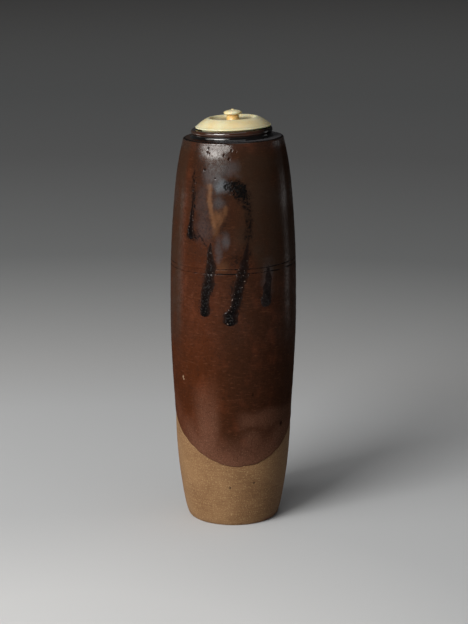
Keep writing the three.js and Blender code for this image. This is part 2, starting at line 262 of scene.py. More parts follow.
# How much farther in than in the solids the clay's wall lies under the glaze, where nobody sees it
HIDDEN_SETBACK = 0.3 * MM

# How deep the edges and the undersides of the runs lie in the brown glaze
RUN_EDGE_DEPTH = 0.03 * MM
RUN_ROOT_DEPTH = 0.12 * MM

# Radius in millimetres on which the widths of clouds and streams are measured
CLOUD_RADIUS = 22

# Colours of the finest marks
PALE_SAND = chip(164, 137, 99)
DARK_SAND = chip(84, 60, 37)
CLAY_SPOT = chip(40, 23, 14)
DEEP_BROWN = chip(46, 28, 19)
WARM_BROWN = chip(92, 48, 30)
PALE_DASH = chip(98, 60, 42)
DARK_DASH = chip(44, 25, 17)
DARK_FLECK = chip(35, 21, 15)
DARK_GRAIN = chip(20, 14, 11)
PALE_GRAIN = chip(114, 79, 60)
POOL_GRAIN = chip(122, 96, 78)
PINHOLE_BLACK = (0.002, 0.0015, 0.0015)
BARE_NICK = chip(168, 141, 115)
FAINT_BLACK = chip(33, 27, 26)
# Pale specks in the black runs: painted glints on the glaze's bubbles
PAINTED_BUBBLE_GLINT = chip(132, 116, 106)
WORN_GOLD = chip(150, 104, 50)

# Outline of the jar over its glaze, from the foot to where the shoulder's corner begins: shares of the height below
# that corner, and of the belly's radius
OUTLINE_SHARES = (
    (0, 0.71), (0.007, 0.739), (0.031, 0.783), (0.073, 0.829), (0.146, 0.889), (0.227, 0.926), (0.3, 0.936),
    (0.38, 0.966), (0.483, 0.994), (0.57, 1), (0.695, 0.988), (0.805, 0.955), (0.893, 0.907), (0.955, 0.85),
    (1, 0.79),
)

# Pinholes in the glaze: azimuth in degrees, height and radius in millimetres
PINHOLES = (
    (-28.5, 135.8, 0.36), (-29.2, 134.5, 0.34), (-26.6, 134.1, 0.3), (-10.1, 133.8, 0.34), (-1.8, 135.2, 0.26),
    (-4.4, 132.6, 0.34), (3.0, 134.9, 0.22), (-30.4, 128.8, 0.42), (-18.2, 126.1, 0.24), (-39.8, 124.2, 0.3),
    (-42.3, 121.6, 0.34), (-2.0, 125.3, 0.26), (74.0, 131.0, 0.34), (118.0, 133.5, 0.3), (152.0, 127.0, 0.42),
    (-96.0, 130.0, 0.36), (-140.0, 134.0, 0.3),
)

# Small marks in the glaze and on the clay: azimuth in degrees, height and radius in millimetres
DARK_SPECKS = ((18.5, 50.0, 0.5), (54.1, 36.9, 1.0), (96.0, 61.0, 0.6), (-128.0, 88.0, 0.5))
LIGHT_SPECKS = ((-54.4, 54.6, 0.4), (-53.6, 53.9, 0.3))
CLAY_SPECKS = ((-3.1, 15.1, 0.42), (22.9, 16.6, 0.42), (121.0, 22.0, 0.4), (-150.0, 30.0, 0.4))

# How much of the two waist lines is still open, from the back round to the back: azimuth in degrees, shares of the
# depth of the lower and of the upper line
WAIST_LINE_SHARES = (
    (-180, 0.8, 0.6), (-120, 0.5, 0.7), (-70, 0.5, 0.4), (-58, 0.5, 0.2), (-46, 0.35, 0.15), (-33, 0.4, 0.2),
    (-27, 1, 0.4), (-16, 1, 0.5), (-8, 0.9, 0.5), (0, 0.8, 0.4), (4, 1, 0.9), (12, 1, 1), (17, 0.6, 0.4),
    (29, 0.4, 0.4), (34, 0.9, 0.8), (42, 1, 0.9), (48, 0.6, 0.7), (54, 0.9, 0.8), (64, 0.8, 0.5), (110, 0.4, 0.8),
    (150, 0.9, 0.5), (180, 0.8, 0.6),
)

# Clouds of other glaze in the brown: azimuth in degrees, height, half width and half height in millimetres, strength
CLOUDS = {
    "soot": (
        (-4.8, 123.4, 2.8, 2.6, 0.66), (1.2, 123.2, 3.6, 3.1, 0.78), (6.2, 121.4, 3.6, 3.2, 0.84),
        (10.6, 120.0, 2.8, 2.4, 0.66), (13.2, 117.0, 2.8, 1.4, 0.5), (-43.0, 125.0, 1.4, 5.0, 0.5),
        (-41.0, 106.5, 3.6, 3.0, 0.6), (-22.5, 90.0, 2.8, 7.0, 0.4), (1.5, 86.0, 3.0, 8.0, 0.35),
        (3.0, 98.5, 4.6, 3.4, 0.35), (30.0, 84.0, 3.2, 2.6, 0.5), (150.0, 118.0, 5.0, 6.0, 0.7),
        (-125.0, 112.0, 5.0, 7.0, 0.6),
    ),
    "rust": (
        (-15.3, 112.8, 2.6, 2.6, 0.75), (-16.6, 108.6, 1.6, 3.0, 0.5), (-10.0, 96.0, 2.6, 2.4, 0.3),
        (140.0, 108.0, 4.0, 7.0, 0.4),
    ),
    # Milky bloom. The two faint grey clouds either side of the bluish bloom, just under the shoulder, are partly
    # painted sheen
    "milk_and_sheen": (
        (-11.2, 123.6, 3.1, 2.4, 1.0), (-16.0, 126.2, 1.8, 2.2, 0.4), (-24.0, 126.8, 3.6, 3.4, 0.26),
        (-4.5, 129.0, 5.0, 3.0, 0.24), (-13.6, 117.8, 2.6, 2.0, 0.28), (-32.5, 117.5, 2.6, 6.0, 0.14),
        (-29.5, 109.5, 3.8, 5.4, 0.18), (-7.4, 105.2, 1.8, 2.8, 0.36), (-13.4, 101.4, 1.4, 4.4, 0.24),
        (33.0, 92.0, 2.6, 7.0, 0.16), (-160.0, 110.0, 5.0, 8.0, 0.3),
    ),
}

# Streams of other glaze that sank into the brown: azimuths in degrees and heights in millimetres, half width in
# millimetres, strength
STREAMS = {
    "soot": (
        (((-42.6, 123.5), (-41.4, 118.0), (-41.2, 113.0), (-42.6, 108.5)), 1.1, 0.55),
        (((-35.6, 107.5), (-30.0, 105.5), (-25.9, 103.1), (-21.6, 101.9)), 0.4, 0.45),
        (((-28.0, 118.0), (-26.0, 113.0), (-23.5, 107.5), (-21.4, 103.5)), 0.5, 0.15),
        (((12.5, 120.0), (15.0, 115.0), (14.0, 109.0), (13.0, 104.5), (12.0, 100.0)), 1.5, 0.46),
        (((122.0, 131.0), (126.0, 114.0), (124.0, 96.0)), 1.5, 0.5),
        (((171.0, 133.0), (168.0, 118.0), (169.0, 104.0)), 1.2, 0.5),
        (((-118.0, 132.0), (-121.0, 112.0), (-120.0, 99.0)), 1.4, 0.5),
    ),
    "rust": (
        (((-23.4, 123.6), (-22.9, 119.0), (-21.6, 115.0), (-19.4, 112.2), (-17.0, 109.4)), 1.0, 0.85),
        (((-7.4, 116.2), (-8.8, 114.0), (-11.2, 112.0), (-14.6, 109.8)), 0.8, 0.55),
    ),
}

# Routes of the black runs, from the thick end up: azimuth in degrees, share of the shoulder's height, share of the
# run's width
RUN_ROUTE_SHARES = {
    "glaze_run_left": (
        (-43.0, 0.77, 0.5), (-43.2, 0.78, 0.5), (-43.4, 0.794, 0.38), (-42.8, 0.816, 0.26), (-42.4, 0.836, 0.2),
        (-42.0, 0.862, 0.14), (-42.0, 0.88, 0.08),
    ),
    "glaze_run_mid_left": (
        (-26.8, 0.581, 0.68), (-26.4, 0.59, 0.68), (-25.6, 0.605, 0.6), (-24.7, 0.62, 0.62), (-23.4, 0.645, 0.7),
        (-21.6, 0.672, 0.66), (-20.4, 0.697, 0.64), (-20.9, 0.717, 0.5), (-21.3, 0.739, 0.3), (-21.0, 0.755, 0.12),
    ),
    "glaze_run_mid_right": (
        (-2.6, 0.564, 0.88), (-2.4, 0.574, 0.84), (0.4, 0.592, 0.62), (2.0, 0.61, 0.62), (4.4, 0.637, 0.64),
        (7.2, 0.665, 0.66), (9.2, 0.69, 0.62), (10.6, 0.715, 0.46), (12.0, 0.74, 0.26), (12.8, 0.757, 0.1),
    ),
    "glaze_run_right": (
        (30.6, 0.603, 0.7), (31.0, 0.616, 0.67), (32.4, 0.641, 0.53), (33.3, 0.667, 0.45), (33.4, 0.69, 0.3),
        (33.2, 0.715, 0.12),
    ),
}

# The run that hardly shows, because the glaze lies thin there
FAINT_RUN = "glaze_run_right"

# Soft lamps round the jar: azimuth and rise in degrees, distance, width and height in metres, tint
WARM_WHITE = (1.0, 0.985, 0.96)
LAMPS = {
    "key_light": (-40, 32, 0.95, (0.46, 0.4), WARM_WHITE),
    "wide_light": (-58, 28, 1.0, (0.9, 0.6), WARM_WHITE),
    "side_strip": (-41, 17.5, 1.0, (1.25, 0.09), (1.0, 0.96, 0.91)),
    "low_card": (-40, 5, 1.05, (0.72, 0.3), WARM_WHITE),
    "front_fill": (20, 79, 1.5, (1.0, 0.8), (1, 1, 1)),
    "left_card": (-109, -4, 0.32, (0.11, 0.09), (1.0, 0.92, 0.86)),
    "right_card": (113, -1.5, 0.32, (0.075, 0.115), (1.0, 0.97, 0.95)),
    "far_right_card": (112, 3, 1.15, (0.5, 0.24), (0.94, 0.97, 1.0)),
    "back_card": (178, 40, 1.5, (0.9, 0.7), (1, 1, 1)),
}


# Shapes


def catmull_rom(points, steps):
    """Points along a smooth curve through the given ones, with as many steps in each stretch."""
    points = np.asarray(points, float)
    padded = np.vstack([points[:1], points, points[-1:]])
    shares = np.linspace(0, 1, steps, endpoint=False)[:, None]
    stretches = []
    for before, low, high, after in zip(padded, padded[1:], padded[2:], padded[3:]):
        start, end = (high - before) / 2, (after - low) / 2
        cubic = 2 * (low - high) + start + end
        square = 3 * (high - low) - 2 * start - end
        stretches.append(((cubic * shares + square) * shares + start) * shares + low)
    return np.vstack(stretches + [points[-1:]])


def smooth_step(low, high, value):
    share = np.clip((value - low) / (high - low), 0, 1)
    return share * share * (3 - 2 * share)


def window(value, start, full, low, end):
    """1 from the full value to the low one, and 0 before the start and after the end, with soft steps."""
    return smooth_step(start, full, value) * smooth_step(end, low, value)


def grain(azimuth, height, round_cells, cell_height, seed):
    """Smooth noise from 0 to 1 over the jar's wall, which joins up at the back."""
    layers = 97
    table = np.random.default_rng(seed).random((layers, round_cells))
    across = (azimuth / FULL_TURN) % 1 * round_cells
    up = (height / cell_height) % layers
    column, row = np.floor(across).astype(int), np.floor(up).astype(int)
    across, up = (part * part * (3 - 2 * part) for part in (across - column, up - row))
    column, row = column % round_cells, row % layers
    next_column, next_row = (column + 1) % round_cells, (row + 1) % layers
    low = table[row, column] * (1 - across) + table[row, next_column] * across
    high = table[next_row, column] * (1 - across) + table[next_row, next_column] * across
    return low * (1 - up) + high * up


def turned_away(azimuth, place):
    """How far an azimuth is from a place in degrees, the short way round."""
    return (azimuth - math.radians(place) + math.pi) % FULL_TURN - math.pi


class Jar:
    """Where the surfaces of the jar lie, worked out from its sizes."""

    def __init__(self, scene):
        self.sizes = sizes = scene.chaire_jar
        self.glaze = glaze = scene.chaire_glaze
        self.corner_height = sizes.shoulder_height - sizes.shoulder_corner
        shares = catmull_rom(OUTLINE_SHARES, 60)
        self.outline_heights = shares[:, 0] * self.corner_height
        self.outline_radii = shares[:, 1] * sizes.belly_radius
        self.ledge_radius = self.outline_radii[-1] - sizes.shoulder_corner
        self.neck_x = self.ledge_radius - sizes.ledge_width
        self.neck_radius = self.neck_x - sizes.neck_fillet
        self.lip_radius = self.neck_radius + sizes.neck_undercut
        self.mouth_radius = self.lip_radius - sizes.lip_width
        self.neck_top = sizes.shoulder_height + sizes.neck_height
        self.fired_inset = glaze.thickness + glaze.fired_gap
        self.ceiling = sizes.shoulder_height - self.fired_inset - sizes.wall_thickness
        self.wall_top = self.corner_height - sizes.wall_thickness - sizes.shoulder_corner
        self.mouth_glaze_end = self.ceiling + glaze.mouth_bare_height
        self.face_inset = 0.05 * MM

    def outline(self, height):
        return np.interp(height, self.outline_heights, self.outline_radii)

    def place(self, azimuth, radius, height):
        """Points in space. The rings rise towards the right and the front, more so at the mouth, and the neck stands
        a little to the left."""
        sizes = self.sizes
        neck = np.clip((height - sizes.shoulder_height) / sizes.neck_height, 0, 1)
        slope = sizes.body_slope * np.clip(height / sizes.waist_height, 0, 1)
        slope = slope + (sizes.mouth_slope - slope) * neck
        upper = (height - sizes.waist_height) / (sizes.shoulder_height - sizes.waist_height)
        pitch = sizes.shoulder_pitch * np.clip(upper, 0, 1)
        pitch = pitch + (sizes.mouth_pitch - pitch) * neck
        inward = np.clip((self.ledge_radius - radius) / sizes.ledge_width, 0, 1)
        risen = np.clip((height - self.wall_top) / (self.ceiling - self.wall_top), 0, 1)
        x = radius * np.sin(azimuth) - sizes.neck_shift * inward * risen
        y = -radius * np.cos(azimuth)
        return np.stack(np.broadcast_arrays(x, y, height + x * np.tan(slope) - y * np.tan(pitch)), axis=-1)

    def glaze_line(self, azimuth):
        """Height of the glaze's lower edge: the slanting cut of the dip, a little uneven."""
        glaze = self.glaze
        turn = azimuth - glaze.line_azimuth
        wobble = glaze.line_wobble * np.sin(2 * turn)
        ragged = 0.5 * MM * (grain(azimuth, 0, 61, MM, 3) - 0.5)
        return glaze.line_height - glaze.line_swing * np.cos(turn) - wobble + ragged

    def throwing(self, azimuth, height):
        """Depth of the throwing rings and of the broad unevenness, never out from the outline."""
        sizes = self.sizes
        rings = 0
        for pitch, share, starts, phase in ((2.7, 0.3, 1, 0.4), (3.9, 0.3, 1, 2.1), (6.1, 0.4, 1, 4.4)):
            wave = 0.5 + 0.5 * np.cos(FULL_TURN * height / (pitch * MM) - starts * azimuth + phase)
            rings = rings + share * wave * (0.35 + 0.65 * grain(azimuth, height, 5, 14 * MM, int(pitch * 10)))
        lumps = grain(azimuth, height, 6, 19 * MM, 8)
        return sizes.throwing_depth * rings + sizes.lump_depth * lumps

    def waist_lines(self, azimuth, height):
        """Depth of the two lines cut at the waist, with the glaze run into them here and there."""
        sizes = self.sizes
        depth = 0
        turns, *shares = np.array(WAIST_LINE_SHARES).T
        for number, line_shares in enumerate(shares):
            middle = sizes.waist_height + number * sizes.waist_line_spacing
            wander = 0.2 * MM * (grain(azimuth, 0, 23, MM, 40 + number) - 0.5)
            across = np.abs(height - middle - wander) / (sizes.waist_line_width / 2)
            dashes = 0.4 + 0.6 * smooth_step(0.2, 0.5, grain(azimuth, 0, 90, MM, 50 + number))
            left_open = np.interp(np.degrees(turned_away(azimuth, 0)), turns, line_shares) * dashes
            depth = depth + sizes.waist_line_depth * (1 - smooth_step(0.2, 1.1, across)) * left_open
        return depth

    def marks(self, azimuth, height, places):
        """Strength of small round marks, from 0 to 1."""
        strength = 0 * azimuth * height
        for turn, up, radius in places:
            across = turned_away(azimuth, turn) * self.outline(up * MM)
            distance = np.hypot(across, height - up * MM) / (radius * MM)
            strength = np.maximum(strength, 1 - smooth_step(0.35, 1.25, distance))
        return strength

    def glaze_face(self, azimuth, height):
        """Radius of the brown glaze's outer face."""
        sizes = self.sizes
        azimuth, height = np.broadcast_arrays(azimuth, height)
        calm = 1 - smooth_step(self.corner_height - 2 * MM, self.corner_height, height)
        rings = self.throwing(azimuth, height)
        rings = rings * (1 - 0.6 * smooth_step(CALM_SHOULDER, CALM_SHOULDER + 10 * MM, height))
        depth = rings + self.waist_lines(azimuth, height)
        depth = depth + self.glaze.pinhole_depth * self.marks(azimuth, height, PINHOLES)
        crust = patch(azimuth, height, 5.0, 122.4, 5.0, 2.8, 7)
        depth = depth + self.glaze.crust_depth * crust * grain(azimuth, height, 210, 0.55 * MM, 5)
        return self.outline(height) - self.face_inset - calm * depth

    def neck_profile(self, inset, step):
        """Radii and heights over the shoulder's corner, across the ledge, up the neck and over the lip."""
        sizes = self.sizes
        edge = sizes.lip_round - inset
        undercut = math.acos((edge - sizes.neck_undercut) / edge)
        lip_x, inner_x = self.lip_radius - sizes.lip_round, self.mouth_radius + sizes.lip_round
        neck_y, lip_y = sizes.shoulder_height + sizes.neck_fillet, self.neck_top - sizes.lip_round
        arcs = (
            (self.ledge_radius, self.corner_height, sizes.shoulder_corner - inset, SHOULDER_LEAN, QUARTER_TURN),
            (self.neck_x, neck_y, sizes.neck_fillet + inset, 3 * QUARTER_TURN, 2 * QUARTER_TURN),
            (lip_x, lip_y - sizes.lip_band, edge, -undercut, 0),
            (lip_x, lip_y, edge, 0, QUARTER_TURN),
            (inner_x, lip_y, edge, QUARTER_TURN, 2 * QUARTER_TURN),
        )
        points = []
        for middle_x, middle_y, radius, start, end in arcs:
            turns = np.linspace(start, end, max(4, round(abs(end - start) * radius / step)))
            arc = np.stack([middle_x + radius * np.cos(turns), middle_y + radius * np.sin(turns)], axis=-1)
            if points:
                points.extend(between(points[-1], arc[0], step))
            points.extend(arc)
        return np.array(points)


def between(start, end, step):
    """Points strictly between two others, about a step apart."""
    count = int(np.hypot(*(np.asarray(end) - start)) / step)
    return [start + (np.asarray(end) - start) * number / (count + 1) for number in range(1, count + 1)]


def patch(azimuth, height, turn, up, half_width, half_height, seed):
    """Strength of an uneven patch of glaze, from 0 to 1. The turn is in degrees and the lengths in millimetres."""
    across = turned_away(azimuth, turn) * CLOUD_RADIUS / half_width
    distance = np.hypot(across, (height / MM - up) / half_height)
    ragged = grain(azimuth, height, 70, 2 * MM, seed) + 0.5 * grain(azimuth, height, 230, 0.7 * MM, seed + 1)
    return 1 - smooth_step(0.25, 1.35, distance + 0.5 * (ragged - 0.75))


def stream(azimuth, height, route, width, seed):
    """Strength of a stream of sunken glaze along a route in degrees and millimetres, from 0 to 1."""
    nearest = np.full(np.broadcast(azimuth, height).shape, 1e3)
    for (turn, up), (next_turn, next_up) in zip(route, route[1:]):
        along = np.array([math.radians(next_turn - turn) * CLOUD_RADIUS, next_up - up])
        across_place = turned_away(azimuth, turn) * CLOUD_RADIUS
        up_place = height / MM - up
        share = np.clip((across_place * along[0] + up_place * along[1]) / (along @ along), 0, 1)
        nearest = np.minimum(nearest, np.hypot(across_place - share * along[0], up_place - share * along[1]))
    ragged = grain(azimuth, height, 120, 1.6 * MM, seed) + 0.5 * grain(azimuth, height, 300, 0.5 * MM, seed + 1)
    return 1 - smooth_step(0.2, 1.6, nearest / width + 0.8 * (ragged - 0.7))


def laid_over(name, azimuth, height):
    """Strength of all the clouds and streams of one kind, from 0 to 1."""
    strength = 0 * azimuth
    for number, (*place, share) in enumerate(CLOUDS[name]):
        strength = np.maximum(strength, share * patch(azimuth, height, *place, 100 + number))
    for number, (route, half_width, share) in enumerate(STREAMS.get(name, ())):
        strength = np.maximum(strength, share * stream(azimuth, height, route, half_width, 60 + number))
    return strength


# Meshes


def ring_azimuths(count, front_share):
    """Azimuths round the jar from the back, closer together in front."""
    turns = np.linspace(-math.pi, math.pi, 4001)
    density = 1 + front_share * np.exp(-((turns / math.radians(58)) ** 4))
    grown = np.concatenate([[0], np.cumsum((density[1:] + density[:-1]) / 2)])
    return np.interp(np.arange(count) / count * grown[-1], grown, turns)


def skin(rows, start=None, end=None, joined=False):
    """Points and faces over rows of points that each close on themselves. The skin starts and ends in single points,
    or the last row joins the first."""
    row_count, column_count = rows.shape[:2]
    points = rows.reshape(-1, 3)
    number = np.arange(row_count * column_count).reshape(row_count, column_count)
    if joined:
        number = np.vstack([number, number[:1]])
    turned = np.roll(number, -1, axis=1)
    quads = np.stack([number[:-1], turned[:-1], turned[1:], number[1:]], axis=-1).reshape(-1, 4).tolist()
    for point, ring, reverse in ((start, 0, True), (end, -1, False)):
        if point is not None:
            hub = len(points)
            points = np.vstack([points, point])
            low, high = number[ring], turned[ring]
            if reverse:
                low, high = high, low
            quads.extend([int(a), int(b), hub] for a, b in zip(low, high))
    return points, quads


def new_object(name, points, faces, material):
    mesh = bpy.data.meshes.new(name)
    mesh.from_pydata(points.tolist(), [], faces)
    mesh.materials.append(material)
    made = bpy.data.objects.new(name, mesh)
    bpy.context.scene.collection.objects.link(made)
    return made


def new_piece(name, points, faces, body, replaced, material, painted=None):
    """A piece on a body of the frame, in place of its CAD node, with painted masks for its material."""
    piece = new_object(name, points, faces, material)
    mesh = piece.data
    mesh.polygons.foreach_set("use_smooth", np.ones(len(mesh.polygons), bool))
    for mask, values in (painted or {}).items():
        filled = np.zeros(len(points))
        filled[: values.size] = values.ravel()
        mesh.attributes.new(mask, "FLOAT", "POINT").data.foreach_set("value", filled)
    mesh.update()
    if mesh.validate():
        raise RuntimeError(f"{name} has faulty faces")
    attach(piece, body)
    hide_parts(replaced)


class Rings:
    """Rings round the jar, one after another: radii and heights at the same azimuths."""

    def __init__(self, columns, front_share):
        self.azimuth = ring_azimuths(columns, front_share)[None, :]
        self.radii, self.heights = [], []

    def add(self, radius, height):
        self.radii.append(np.broadcast_to(radius, self.azimuth.shape)[0])
        self.heights.append(np.broadcast_to(height, self.azimuth.shape)[0])

    def follow(self, profile):
        for radius, height in profile:
            self.add(radius, height)

    def arrays(self):
        return np.array(self.radii), np.array(self.heights)


def level_turns(columns):
    return np.linspace(-math.pi, math.pi, columns, endpoint=False)


def turned_rows(profile, columns):
    """Level rings through the points of a profile."""
    turns = level_turns(columns)
    radii, heights = profile[:, :1], profile[:, 1:]
    return np.stack(np.broadcast_arrays(radii * np.sin(turns), -radii * np.cos(turns), heights), axis=-1)


class Path:
    """A profile drawn as a turner's knife goes, in steps of even length."""

    def __init__(self, x, y, step):
        self.points = [np.array([x, y], float)]
        self.step = step

    def line(self, x, y):
        end = np.array([x, y], float)
        self.points.extend(between(self.points[-1], end, self.step))
        self.points.append(end)

    def curve(self, middle_x, middle_y, x, y):
        start, middle, end = self.points[-1], np.array([middle_x, middle_y]), np.array([x, y], float)
        reach = np.hypot(*(middle - start)) + np.hypot(*(end - middle))
        for share in np.linspace(0, 1, max(4, round(reach / self.step)) + 1)[1:]:
            self.points.append((1 - share) ** 2 * start + 2 * share * (1 - share) * middle + share**2 * end)

    def array(self):
        return np.array(self.points)


# Materials


class Shade:
    """A socket of a material's nodes. Sums on it add Math nodes."""

    def __init__(self, tree, socket=None):
        self.tree = tree
        self.socket = socket

    def node(self, kind, settings=None, sockets=None, output=0):
        """A new node's output, with the node's settings and the values or links of its sockets."""
        made = self.tree.nodes.new(kind)
        for name, value in (settings or {}).items():
            if name == "stops":
                for number, (place, tone) in enumerate(value):
                    if number > 1:
                        made.color_ramp.elements.new(place)
                    made.color_ramp.elements[number].position = place
                    made.color_ramp.elements[number].color = (*tone, 1)
            else:
                setattr(made, name, value)
        for name, value in (sockets or {}).items():
            if isinstance(value, Shade):
                self.tree.links.new(value.socket, made.inputs[name])
            elif made.inputs[name].type == "RGBA":
                made.inputs[name].default_value = (*value[:3], 1)
            else:
                made.inputs[name].default_value = value
        return Shade(self.tree, made.outputs[output]) if made.outputs else None

    def math(self, operation, *values):
        return self.node("ShaderNodeMath", {"operation": operation}, dict(enumerate(values)))

    def __add__(self, other):
        return self.math("ADD", self, other)

    def __sub__(self, other):
        return self.math("SUBTRACT", self, other)

    def __mul__(self, other):
        return self.math("MULTIPLY", self, other)

    def __rsub__(self, other):
        return self.math("SUBTRACT", other, self)

    __radd__ = __add__
    __rmul__ = __mul__

    def larger(self, other):
        return self.math("MAXIMUM", self, other)

    def smaller(self, other):
        return self.math("MINIMUM", self, other)

    def smooth(self, low, high):
        """From 0 at the low value to 1 at the high one, with soft ends."""
        sockets = {"Value": self, "From Min": low, "From Max": high}
        return self.node("ShaderNodeMapRange", {"interpolation_type": "SMOOTHSTEP"}, sockets)

    def mask(self, name):
        """A mask painted on the mesh."""
        return self.node("ShaderNodeAttribute", {"attribute_name": name}, output=2)

    def blend(self, mask, low, high, kind="MIX"):
        """The low colour where the mask is 0, and the high one where it is 1."""
        settings = {"data_type": "RGBA", "blend_type": kind, "clamp_factor": True}
        return self.node("ShaderNodeMix", settings, {0: mask, 6: low, 7: high}, output=2)

    def layers(self, tone, *coats):
        """The tone with other colours laid over it in turn, each where its mask is 1."""
        for mask, coat in coats:
            tone = self.blend(mask, tone, coat)
        return tone

    def noise(self, place, size, detail=3.0, roughness=0.55, distortion=0.0):
        """Noise with lumps of about the given size in metres."""
        sockets = {"Vector": place, "Scale": 1 / size, "Detail": detail, "Roughness": roughness}
        return self.node("ShaderNodeTexNoise", {"noise_dimensions": "3D"}, {**sockets, "Distortion": distortion})

    def stretched(self, place, across, up):
        """The place with its level and upright measures changed, for marks that are longer one way."""
        return self.node("ShaderNodeVectorMath", {"operation": "MULTIPLY"}, {0: place, 1: (across, across, up)})

    def bump(self, height, distance, strength):
        return self.node("ShaderNodeBump", None, {"Strength": strength, "Distance": distance, "Height": height})


def new_material(name):
    """A material with an empty tree, and its first Shade."""
    material = bpy.data.materials.new(name)
    material.use_nodes = True
    material.node_tree.nodes.clear()
    return material, Shade(material.node_tree)


def finished(material, shade, sockets):
    """The material, with a Principled shader with these sockets as its surface."""
    surface = shade.node("ShaderNodeBsdfPrincipled", None, sockets)
    shade.node("ShaderNodeOutputMaterial", None, {"Surface": surface})
    return material


def object_place(shade):
    return shade.node("ShaderNodeTexCoord", output=3)


def clay_material(colours):
    material, shade = new_material("fired_clay")
    place = object_place(shade)
    broad = shade.noise(place, 14 * MM, 3.0)
    lines = shade.noise(shade.stretched(place, 0.06, 1.0), 0.55 * MM, 2.0)
    sand = shade.noise(place, 0.45 * MM, 2.0, 0.7)
    fine = shade.noise(place, 0.2 * MM, 1.0)
    tone = shade.layers(
        colours.clay,
        ((broad + (lines - 0.5) * 0.5).smooth(0.35, 0.72), colours.dark_clay_and_painted_shade),
        (sand.smooth(0.54, 0.7) * 0.65, PALE_SAND),
        ((1 - sand).smooth(0.56, 0.74) * 0.65, DARK_SAND),
    )
    # Painted shade: the clay is darkened on its right side, where the light falls away
    tone = shade.blend(shade.mask("iron"), tone, colours.dark_clay_and_painted_shade, "MULTIPLY")
    tone = shade.layers(tone, (shade.mask("scorch"), colours.clay_flash), (shade.mask("speck"), CLAY_SPOT))
    sockets = {
        "Base Color": tone,
        "Roughness": 0.86 + (sand - 0.5) * 0.12,
        "Specular IOR Level": 0.3,
        "Normal": shade.bump(sand * 0.6 + fine * 0.3 + lines * 0.9, 0.09 * MM, 0.7),
    }
    return finished(material, shade, sockets)


def brown_glaze_material(colours):
    """The brown glaze with all that is painted in it: satin on the wall, glassy on the neck and the lip."""
    material, shade = new_material("brown_glaze")
    place = object_place(shade)
    broad = shade.noise(place, 17 * MM, 3.0, 0.6)
    cloud = shade.noise(shade.stretched(place, 1.0, 0.7), 5 * MM, 4.0, 0.6)
    fleck = shade.noise(place, 0.8 * MM, 3.0, 0.65)
    speckle = shade.noise(place, 0.32 * MM, 2.0, 0.6)
    lines = shade.noise(shade.stretched(place, 0.06, 1.0), 0.7 * MM, 3.0, 0.6)
    dashes = shade.noise(shade.stretched(place, 0.22, 1.0), 0.5 * MM, 3.0, 0.6)
    peel = shade.noise(place, 1.3 * MM, 2.0)
    soot, rust, milk_and_sheen, wash_and_shade, pool_and_sheen = (shade.mask(name) for name in ("soot", "rust", "milk_and_sheen", "wash_and_shade", "pool_and_sheen"))
    pit, neck = shade.mask("pit"), shade.mask("neck")
    wall = 1 - neck
    tone = shade.layers(
        colours.red_glaze,
        (shade.mask("olive"), colours.olive_glaze),
        (broad.smooth(0.35, 0.7) * 0.35, DEEP_BROWN),
        (cloud.smooth(0.48, 0.75) * 0.35, WARM_BROWN),
        (dashes.smooth(0.54, 0.76) * 0.4 * wall, PALE_DASH),
        ((1 - dashes).smooth(0.54, 0.74) * 0.6, DARK_DASH),
        ((1 - fleck).smooth(0.48, 0.7) * 0.4, DARK_FLECK),
        # The pool, and a painted sheen on the belly at the front left
        (pool_and_sheen * (0.7 + 0.3 * fleck.smooth(0.3, 0.6)), colours.plum_and_sheen_glaze),
        # The thin wash, and painted shade on the left flank and the right side
        (wash_and_shade * (0.55 + 0.4 * cloud.smooth(0.3, 0.65)), colours.wash_and_shade_glaze),
        (rust * (0.7 + 0.3 * fleck.smooth(0.3, 0.6)), colours.rust_glaze),
        # Milky bloom, with painted sheen and the ledge's painted reflection
        (milk_and_sheen * (0.65 + 0.35 * fleck.smooth(0.35, 0.6)), colours.milk_and_sheen_glaze),
        ((soot * 2.0 - 1.0 + fleck.smooth(0.36, 0.6)).larger(soot * 0.6), colours.black_glaze),
        ((1 - speckle).smooth(0.6, 0.72) * 0.45, DARK_GRAIN),
        (speckle.smooth(0.64, 0.76) * 0.3 * wall, PALE_GRAIN),
        (speckle.smooth(0.56, 0.7) * pool_and_sheen * 0.6, POOL_GRAIN),
        (pit, PINHOLE_BLACK),
        (shade.mask("nick"), BARE_NICK),
    )
    relief = (peel * 0.5 + fleck * 0.8 + lines * 0.3 + soot * fleck * 1.4) * (1 - neck * 0.85)
    gloss = shade.mask("gloss") * (0.35 + 0.9 * fleck.smooth(0.3, 0.7)) * (0.75 + 0.4 * cloud.smooth(0.35, 0.6))
    body = {
        "Base Color": tone,
        "Roughness": 0.6,
        "Specular IOR Level": 0.0,
        "Normal": shade.bump(relief, 0.05 * MM, 0.8),
    }
    satin = {"Coat Weight": (gloss * (1 - pit)).smaller(1.0), "Coat Roughness": 0.2, "Coat IOR": 1.52}
    glassy = {"Coat Weight": 1.0, "Coat Roughness": 0.09, "Coat IOR": 1.68}
    low, high = (shade.node("ShaderNodeBsdfPrincipled", None, {**body, **coat}) for coat in (satin, glassy))
    surface = shade.node("ShaderNodeMixShader", None, {0: neck, 1: low, 2: high})
    shade.node("ShaderNodeOutputMaterial", None, {"Surface": surface})
    return material


